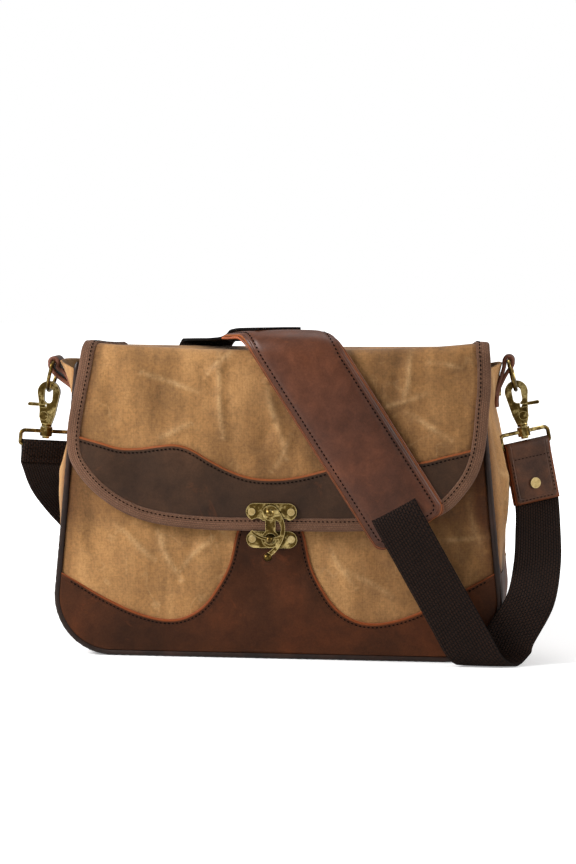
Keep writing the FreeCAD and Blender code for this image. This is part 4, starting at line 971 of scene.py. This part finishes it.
padRim = [overFold(p, sign * padEdge(p), 2.2) for sign in (-1, 1)
    for p in [strap["padLow"] + 0.9 * i for i in range(272)]]
padRim += [overFold(p, q, 2.2) for p in (strap["padLow"], strap["padHigh"]) for q in range(-22, 23)]
padLeathers, padProbe = [padLeather, edgeOrange], (60, -80, 180)
padCover = finishPiece("padCover", clothSheet(56, 190, padPlace, padFlat), padLeathers, "strap_over",
    "shoulder_pad_cover", {"rim": rimFrom([padRim], 11.5)}, (1.2, -1.0), padProbe)
finishPiece("padBacking", clothSheet(30, 150, backingPlace, padFlat), padLeathers, "strap_over",
    "shoulder_pad_backing", {"rim": lambda co: 0.15}, (1.7, -1.0), padProbe)


def ringWalk(inside):
    # once round the pad, a steady distance inside its edge
    half, c = strap["padHalf"] - inside, strap["padRound"] - inside * 0.5
    low, high = strap["padLow"] + inside, strap["padHigh"] - inside
    corners = [(high - c, half - c, 1, 1), (high - c, -half + c, 1, -1), (low + c, -half + c, -1, -1),
        (low + c, half - c, -1, 1)]
    points = []
    for k, (cp, cq, sp, sq) in enumerate(corners):
        for i in range(10):
            t = math.pi / 2 * i / 9
            u, v = (math.sin(t), math.cos(t)) if k % 2 == 0 else (math.cos(t), math.sin(t))
            points.append((cp + sp * c * u, cq + sq * c * v))
    return evenly(points + [points[0]], 420)


padStitch = []
for p, q in ringWalk(strap["stitchIn"]):
    up = (overFold(p, q, 9) - overFold(p, q, 5)).normalized()
    padStitch.append((overFold(p, q, padHeight(p, q, padEdge(p)) + 0.05), up))
sewn("padStitch", padStitch, "strap_over", threadDark, 3.4, 2.4, 0.6)


def ribbon(name, stations, node, body=None, per=10):
    # the webbing passes smoothly through stations of (middle, half-width direction, outward direction)
    rows = smoothRun([(*m, *a, *n) for m, a, n in stations], per)
    lengths = runLengths(rows)
    final = len(rows) - 1

    def place(a, b):
        row = rows[round(b * final)]
        v = 2 * a - 1
        cup = 0.35 * (v * v - 0.4)
        out = Vector(row[6:9]).normalized()
        return Vector(row[:3]) + Vector(row[3:6]) * (v * webbing["half"]) + out * (webbing["lift"] - cup)
    sheet = clothSheet(12, final, place,
                       lambda a, b: (lengths[round(b * final)], a * 2 * webbing["half"]))
    return finishPiece(name, sheet, [webbingCloth] * 2, body, node, None, (webbing["thick"], 0.0))


def unit(*values):
    return Vector(values).normalized()


def stationsFrom(rows):
    # rows hold the middle, the half-width direction and the outward direction, three numbers each
    return [(Vector(row[:3]), unit(*row[3:6]), unit(*row[6:])) for row in rows]


def roundBend(step):
    # outward direction at an eighth of half a turn, counted from straight forwards
    a = math.radians(180 + 22.5 * step)
    return Vector((0, math.cos(a), math.sin(a)))


# cotton webbing, thin and flat, its yarns running across it
webbing = {"half": 19.0, "lean": math.atan2(0.49, 0.872), "frontY": -79.4, "overRise": 7.4, "lift": 1.0,
    "thick": 1.9}
slanted = Vector((1 / math.cos(webbing["lean"]), 0, 0))
square = Vector((math.cos(webbing["lean"]), 0, math.sin(webbing["lean"])))


def frontX(z):
    return 95.0 + (120.0 - z) * math.tan(webbing["lean"])


def level(z):
    return Vector((frontX(z), webbing["frontY"], z)), slanted, forward


atSlit = [(Vector((frontX(z), y, z)), square, forward) for z, y in ((122.5, -76.2), (119, -78.9))]
ribbon("webbingLower", atSlit + [level(z) for z in (100, 90, 82)], "webbing_lower", "strap_over", 14)

swivel = {"turn": math.radians(26), "ringTilt": math.radians(14), "ringHeight": 24.4, "bossDown": 33.6,
    "loopDrop": 11.0}
loopDown = swivel["bossDown"] + swivel["loopDrop"]
leftOut = Vector((math.sin(swivel["turn"]), -math.cos(swivel["turn"]), 0))


def hangPoint(side, across, depth, down, turn=0.0):
    # from the hook's own upright drawing to its leaning place under the ring
    here = sidePlaces[side]
    x = across * math.cos(turn) - depth * math.sin(turn)
    y = across * math.sin(turn) + depth * math.cos(turn)
    footX = here["barX"] + swivel["ringHeight"] * math.sin(swivel["ringTilt"])
    footZ = here["barZ"] - swivel["ringHeight"] * math.cos(swivel["ringTilt"])
    c, s = math.cos(here["lean"]), math.sin(here["lean"])
    return Vector((here["sign"] * (footX + x * c - down * s), y, footZ + x * s + down * c))


def endPoint(side, across, depth, down):
    return hangPoint(side, across, depth, down, sidePlaces[side]["sign"] * swivel["turn"])


def barPlace(side, down):
    # the middle and the direction of a line across the hanging strap end
    here, t = sidePlaces[side], swivel["turn"]
    c, s = math.cos(here["lean"]), math.sin(here["lean"])
    return hangPoint(side, 0, 0, -down), Vector((math.cos(t) * c, math.sin(t),
        here["sign"] * math.cos(t) * s))


bend = {"radius": 8.0, "z": 9.4, "y": -72.4, "skew": 0.85}
frontStations = [level(z) for z in (82, 66, 50, 28)]
for step in range(9):
    out = roundBend(step)
    x = frontX(bend["z"]) + bend["radius"] * math.radians(22.5 * step) * bend["skew"]
    frontStations.append((Vector((x, bend["y"], bend["z"])) + out * (bend["radius"] - 1.0), slanted, out))
last = frontStations[-1][0]
frontStations += stationsFrom([(last.x + 6.5, last.y - 0.4, 24.0, 1, 0.04, -0.42, 0, 1, 0.02),
    (199.5, -63.5, 50.0, 1, 0.20, -0.24, -0.2, 1, 0.12),
    (204.5, -44.0, 76.0, 1, 0.28, -0.06, -0.28, 0.95, 0.45),
    (204.5, -20.0, 100.0, 1, 0.40, 0.10, -0.40, 0.95, 0.50)])
for past in (46, 36):
    middle, across = barPlace("right", loopDown + past)
    frontStations.append((middle + leftOut, across, -leftOut))
frontWebbing = ribbon("frontWebbing", frontStations, "front_webbing", per=12)
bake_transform(frontWebbing)

# the rear run: over the back edge, down behind the bag, round on the floor and up to the left hook
overRows = [(45, 7.4), (57, 6.9), (64, 5.9), (69, 3.2), (77, 1.1), (92, 0.3), (141.2, 0.1)]
slope = math.tan(strap["lean"])
lying = Vector((1 / math.cos(strap["lean"]), 0, 0))


def overStation(run, rise):
    past = run - strap["neutral"] * math.pi / 2
    z = strap["foldZ"] + strap["base"] + rise - flap["slope"] * past
    return Vector((strap["startX"] - run * slope, strap["foldY"] + past, z)), lying, Vector((0, 0, 1))


alongPad = Vector((math.cos(strap["lean"]), math.sin(strap["lean"]), 0))
upperStations = [(overFold(30 / math.cos(strap["lean"]), 0, webbing["overRise"]), alongPad,
    Vector((0, 0, 1)))]
ribbon("webbingUpper", upperStations + [overStation(*row) for row in overRows], "webbing_upper",
    "strap_over", 8)

rear = {"edgeY": 62.5, "edge": 6.0, "foot": 9.0, "footZ": 9.4}
rearStations = [overStation(140.6, 0.4)]
start = rearStations[0][0]
for step in range(5):
    a = math.radians(90 - 22.5 * step)
    out = Vector((0, math.cos(a), math.sin(a)))
    x = start.x - (1.5 + rear["edge"] * math.radians(22.5 * step)) * slope
    rearStations.append((Vector((x, rear["edgeY"], start.z - rear["edge"])) + out * rear["edge"], lying,
        out))
backX = rearStations[-1][0].x
rearY = rear["edgeY"] + rear["edge"]
for z, shift, stretch in ((210.0, 16.5, 1.12), (178.0, 31.0, 1.07), (140.0, 43.0, 1.04),
        (100.0, 53.0, 1.03), (60.0, 61.0, 1.02), (30.0, 65.5, 1.01), (9.4, 69.0, 1.01)):
    rearStations.append((Vector((backX - shift, rearY, z)), Vector((stretch, 0, 0)), Vector((0, 1, 0))))
footX = backX - 69.0
for step in range(1, 9):
    out = roundBend(step)
    spot = Vector((footX - 0.6 * step, rearY + rear["foot"], rear["footZ"])) + out * rear["foot"]
    rearStations.append((spot, Vector((1.01, 0, 0)), -out))
riseY = rearStations[-1][0].y
rise = stationsFrom([(footX - 8.0, riseY, 32.0, 1, 0, 0.20, 0, -1, 0),
    (footX - 15.0, riseY - 2.0, 56.0, 1, 0.03, 0.35, 0, -1, -0.10),
    (-172.0, 78.0, 78.0, 1, 0.10, 0.55, -0.10, -0.85, -0.50),
    (-181.0, 70.0, 93.0, 1, 0.28, 0.50, -0.32, -0.75, -0.55),
    (-192.5, 52.5, 111.0, 1, 0.60, 0.50, -0.42, -0.80, -0.50),
    (-198.0, 26.0, 128.0, 1, 0.55, 0.20, -0.45, -0.85, -0.35)])
middle, across = barPlace("left", loopDown + 15.3)
rearStations += rise + [(middle + leftOut * -2.1, across, leftOut)]
rearWebbing = ribbon("rearWebbing", rearStations, "rear_webbing")
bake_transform(rearWebbing)
webbingTail = ribbon("webbingTail", [(m - n * 2.3, a, n) for m, a, n in rise[1:]], "webbing_tail")
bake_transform(webbingTail)


def endLayers(length, thick, gap):
    # one strip round the loop's lower bar: up the front, round the bar and down the back, as (depth, down)
    reach, near = 1.75 + thick / 2, gap + thick / 2
    run = length - 7.5
    front = [(-near, -loopDown - length + run * i / 17) for i in range(18)]
    front += [(-near - 0.3, -loopDown - 6), (-reach, -loopDown - 2)]
    turns = [math.radians(a) for a in range(15, 180, 15)]
    over = [(-reach * math.cos(a), -loopDown + reach * math.sin(a)) for a in turns]
    return front + over + [(-depth, down) for depth, down in reversed(front)]


def strapEnd(name, side, length, thick, gap, materials, node, marks=None):
    path = endLayers(length, thick, gap)
    lengths = runLengths(path)
    final = len(path) - 1
    half = webbing["half"]
    sheet = clothSheet(10, final, lambda a, b: endPoint(side, (2 * a - 1) * half,
        *path[round(b * final)]), lambda a, b: (lengths[round(b * final)], a * 2 * half))
    return finishPiece(name, sheet, materials, side + "_strap_end", node, marks, (thick, 0.0),
        endPoint(side, 0, *path[4]))


leather = {"length": 46.0, "face": 2.3, "stitch": 3.5}
endRim = [endPoint("right", s * webbing["half"], d, -loopDown - i) for s in (-1, 1)
    for d in (-leather["face"], leather["face"]) for i in range(47)]
endRim += [endPoint("right", q, d, -loopDown - leather["length"]) for q in range(-19, 20)
    for d in (-leather["face"], leather["face"])]
strapEnd("leatherEnd", "right", leather["length"], 2.3, 1.15, [strapLeather, edgeOrange],
    "right_strap_end_leather", {"rim": rimFrom([endRim])})
strapEnd("webbingEnd", "left", 15.0, 2.0, 0.1, [webbingCloth] * 2, "left_webbing_end")


def endStitch(name, side, line, face, depth, thread):
    out = (endPoint(side, 0, face, -60) - endPoint(side, 0, 0, -60)).normalized()
    sewn(name, [(endPoint(side, q, face * depth, d), out) for q, d in line], side + "_strap_end", thread,
        3.2, 2.2, 0.42)


for face, way in ((-1, "Front"), (1, "Back")):
    for key, line in (("Top", [(-16 + i, -54.5) for i in range(33)]),
            ("Low", [(-16 + i, -87.8) for i in range(33)]), ("In", [(-16.4, -55 - i) for i in range(33)]),
            ("Out", [(16.4, -55 - i) for i in range(33)])):
        endStitch("endStitch" + key + way, "right", line, face, leather["stitch"], threadBrown)
endStitch("webEndStitch0", "left", [(q, -54.5) for q in range(-16, 17)], -1, 2.15, threadDark)

# short leather tabs that hold the rings' bars to the bag's sides
tab = {"half": 9.6, "thick": 3.0, "round": 3.3}


def tabPath(here):
    barX, barZ = here["barX"], here["barZ"]
    out = lambda z: gussetX(0, z, here["flare"])
    path = [(out(z) + 1.5, z) for z in (197.0, 201.0, 205.0)]
    path += [(out(207) + 1.8, 209.0), (barX - 1.4, barZ - 10.0), (barX + 2.9, barZ - 4.0)]
    turns = [math.radians(a) for a in range(-10, 190, 20)]
    path += [(barX + tab["round"] * math.cos(a), barZ + tab["round"] * math.sin(a)) for a in turns]
    path += [(barX - 3.6, barZ - 5.0), (min(barX - 4.2, out(222) + 1.8), 222.0), (out(214) + 0.9, 214.0),
        (out(206) - 0.2, 206.0)]
    return smoothRun(path, 5)


def tabRim(co):
    return min(1.0, (tab["half"] - abs(co.y)) / 10)


def sideTab(side, here):
    path = tabPath(here)

    def place(a, b):
        x, z = path[round(b * (len(path) - 1))]
        return here["sign"] * x, (2 * a - 1) * (tab["half"] - 0.6 * math.exp(-b * 40)), z
    finishPiece(side + "Tab", clothSheet(10, len(path) - 1, place, lambda a, b: (b * 90, a * 19)),
        [strapLeather, edgeBrown], "bag", side + "_tab", {"rim": tabRim}, (tab["thick"], 0.0))


for side, here in sidePlaces.items():
    sideTab(side, here)
print("strap made")


# the padded insert inside: floor, four walls and two dividers in soft lining cloth
def insertPad(name, node):
    low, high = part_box(node)
    size = [h - l for l, h in zip(low, high)]
    thin = size.index(min(size))
    plane = [i for i in range(3) if i != thin]
    bm = bmesh.new()
    bmesh.ops.create_cube(bm, size=1.0)
    wide = [e for e in bm.edges if abs((e.verts[0].co - e.verts[1].co)[thin]) < 0.5]
    bmesh.ops.subdivide_edges(bm, edges=wide, cuts=14, use_grid_fill=True)
    for v in bm.verts:
        u = [abs(v.co[i] * 2) for i in plane]
        rim = (1 - u[0] ** 6) * (1 - u[1] ** 6)
        seam = 0.175 * math.exp(-((max(u) - 0.93) / 0.03) ** 2)
        v.co[thin] *= 0.62 + 0.512 * max(0.0, rim) ** 0.4 - seam
        v.co = [(low[i] + high[i]) / 2 + v.co[i] * size[i] * (1.0 if i == thin else 0.995)
            for i in range(3)]
    clothMap = bm.loops.layers.uv.new("cloth")
    for face in bm.faces:
        for loop in face.loops:
            loop[clothMap].uv = [loop.vert.co[i] for i in plane]
    bmesh.ops.recalc_face_normals(bm, faces=bm.faces)
    piece = finishPiece(name, bm, [liningCloth], "bag", node)
    bevel = piece.modifiers.new("soft", "BEVEL")
    bevel.width = mm(1.6)
    bevel.segments = 3
    bevel.limit_method = "ANGLE"


for name, node in (("insertFloor", "insert_floor"), ("insertFront", "insert_front_wall"),
        ("insertBack", "insert_back_wall"), ("insertRight", "insert_right_wall"),
        ("insertLeft", "insert_left_wall"), ("dividerLeft", "divider_left"),
        ("dividerRight", "divider_right")):
    insertPad(name, node)
print("insert made")

# brass parts keep their own solids and get their finish here
brassNodes = ["lower_clasp_plate", "clasp_post", "upper_clasp_plate", "clasp_pivot_stud", "swing_hook",
    "strap_slider"]
brassNodes += [side + part for side in sidePlaces
    for part in ("_ring", "_hook", "_jaw", "_jaw_rivet", "_loop")]
rivetNodes = ["lower_clasp_rivets", "upper_clasp_rivets", "right_tab_rivets", "left_tab_rivets",
    "right_strap_end_rivet"]
for nodes, material in ((brassNodes, antiqueBrass), (rivetNodes, rivetBrass)):
    for node in nodes:
        piece = bpy.data.objects[node]
        piece.data.materials.clear()
        piece.data.materials.append(material)
        if material == antiqueBrass and not node.endswith("_ring"):
            edge = piece.modifiers.new("roundedEdge", "BEVEL")
            edge.width = mm(0.45)
            edge.segments = 2
            edge.angle_limit = math.radians(50)

# floor, light and camera
stage = {"target": (9.5, -60, 180), "away": 1880.0, "turn": math.radians(7), "rise": math.radians(5)}
scene = bpy.context.scene
paper = Paint(bpy.data.materials.new("paperFloor"))
sky = Paint(bpy.data.worlds.new("studio"))
scene.world = sky.owner


def seenDirectly(paint, rays):
    return paint.calc("MAXIMUM", rays.outputs["Is Camera Ray"], rays.outputs["Is Transmission Ray"])


bm = bmesh.new()
bmesh.ops.create_grid(bm, x_segments=1, y_segments=1, size=6.0)
floor = finishPiece("floor", bm, [paper.owner])
rays = paper.add("LightPath", take=None)
plain = paper.add("BsdfPrincipled", {}, {"Base Color": "#F4F4F4", "Roughness": 0.9})
direct = seenDirectly(paper, rays)
# the paper is lit up far from the bag, so that no horizon shows
reach = paper.add("VectorMath", {"operation": "LENGTH"}, {0: paper.place()}, "Value")
far = paper.add("MapRange", {}, {"Value": reach, "From Min": 0.3, "From Max": 0.9, "To Min": 0.3,
    "To Max": 1.2}, "Result")
glow = paper.add("Emission", {}, {"Color": "#FFFFFF", "Strength": paper.calc("MULTIPLY", direct, far)})
paper.add("OutputMaterial", {}, {0: paper.add("AddShader", {}, {0: plain, 1: glow})}, None)
rays = sky.add("LightPath", take=None)
direct = seenDirectly(sky, rays)
ambient = sky.add("Mix", {"data_type": "FLOAT"}, {0: rays.outputs["Is Glossy Ray"], 2: 0.24, 3: 0.6}, 0)
strength = sky.add("Mix", {"data_type": "FLOAT"}, {0: direct, 2: ambient, 3: 1.0}, 0)
sky.add("OutputWorld", {}, {0: sky.add("Background", {}, {"Color": "#FFFFFF", "Strength": strength})},
    None)


def aimed(name, data, place, target):
    # a lamp or camera at a place, looking at a target
    made = bpy.data.objects.new(name, data)
    made.location = place
    made.rotation_euler = (Vector(target) - Vector(place)).to_track_quat("-Z", "Y").to_euler()
    scene.collection.objects.link(made)
    return made


for name, place, target, size, power in (("keyLight", (-0.85, -0.52, 0.7), (-0.06, 0, 0.13), 0.5, 17),
        ("fillLight", (1.4, -0.25, 0.7), (0.1, 0, 0.12), 0.8, 12),
        ("topLight", (0.2, 0.5, 2.2), (0, 0, 0.12), 1.4, 16)):
    lamp = bpy.data.lights.new(name, "AREA")
    lamp.shape = "DISK"
    lamp.size = size
    lamp.energy = power
    aimed(name, lamp, place, target)
lens = bpy.data.cameras.new("camera")
lens.lens = 100
lens.sensor_width = 36
lens.sensor_fit = "VERTICAL"
lens.sensor_height = 36
target = Vector(stage["target"]) * 0.001
away = Vector((math.sin(stage["turn"]) * math.cos(stage["rise"]),
    -math.cos(stage["turn"]) * math.cos(stage["rise"]), math.sin(stage["rise"])))
scene.camera = aimed("camera", lens, target + away * mm(stage["away"]), target)
scene.view_settings.view_transform = "Standard"
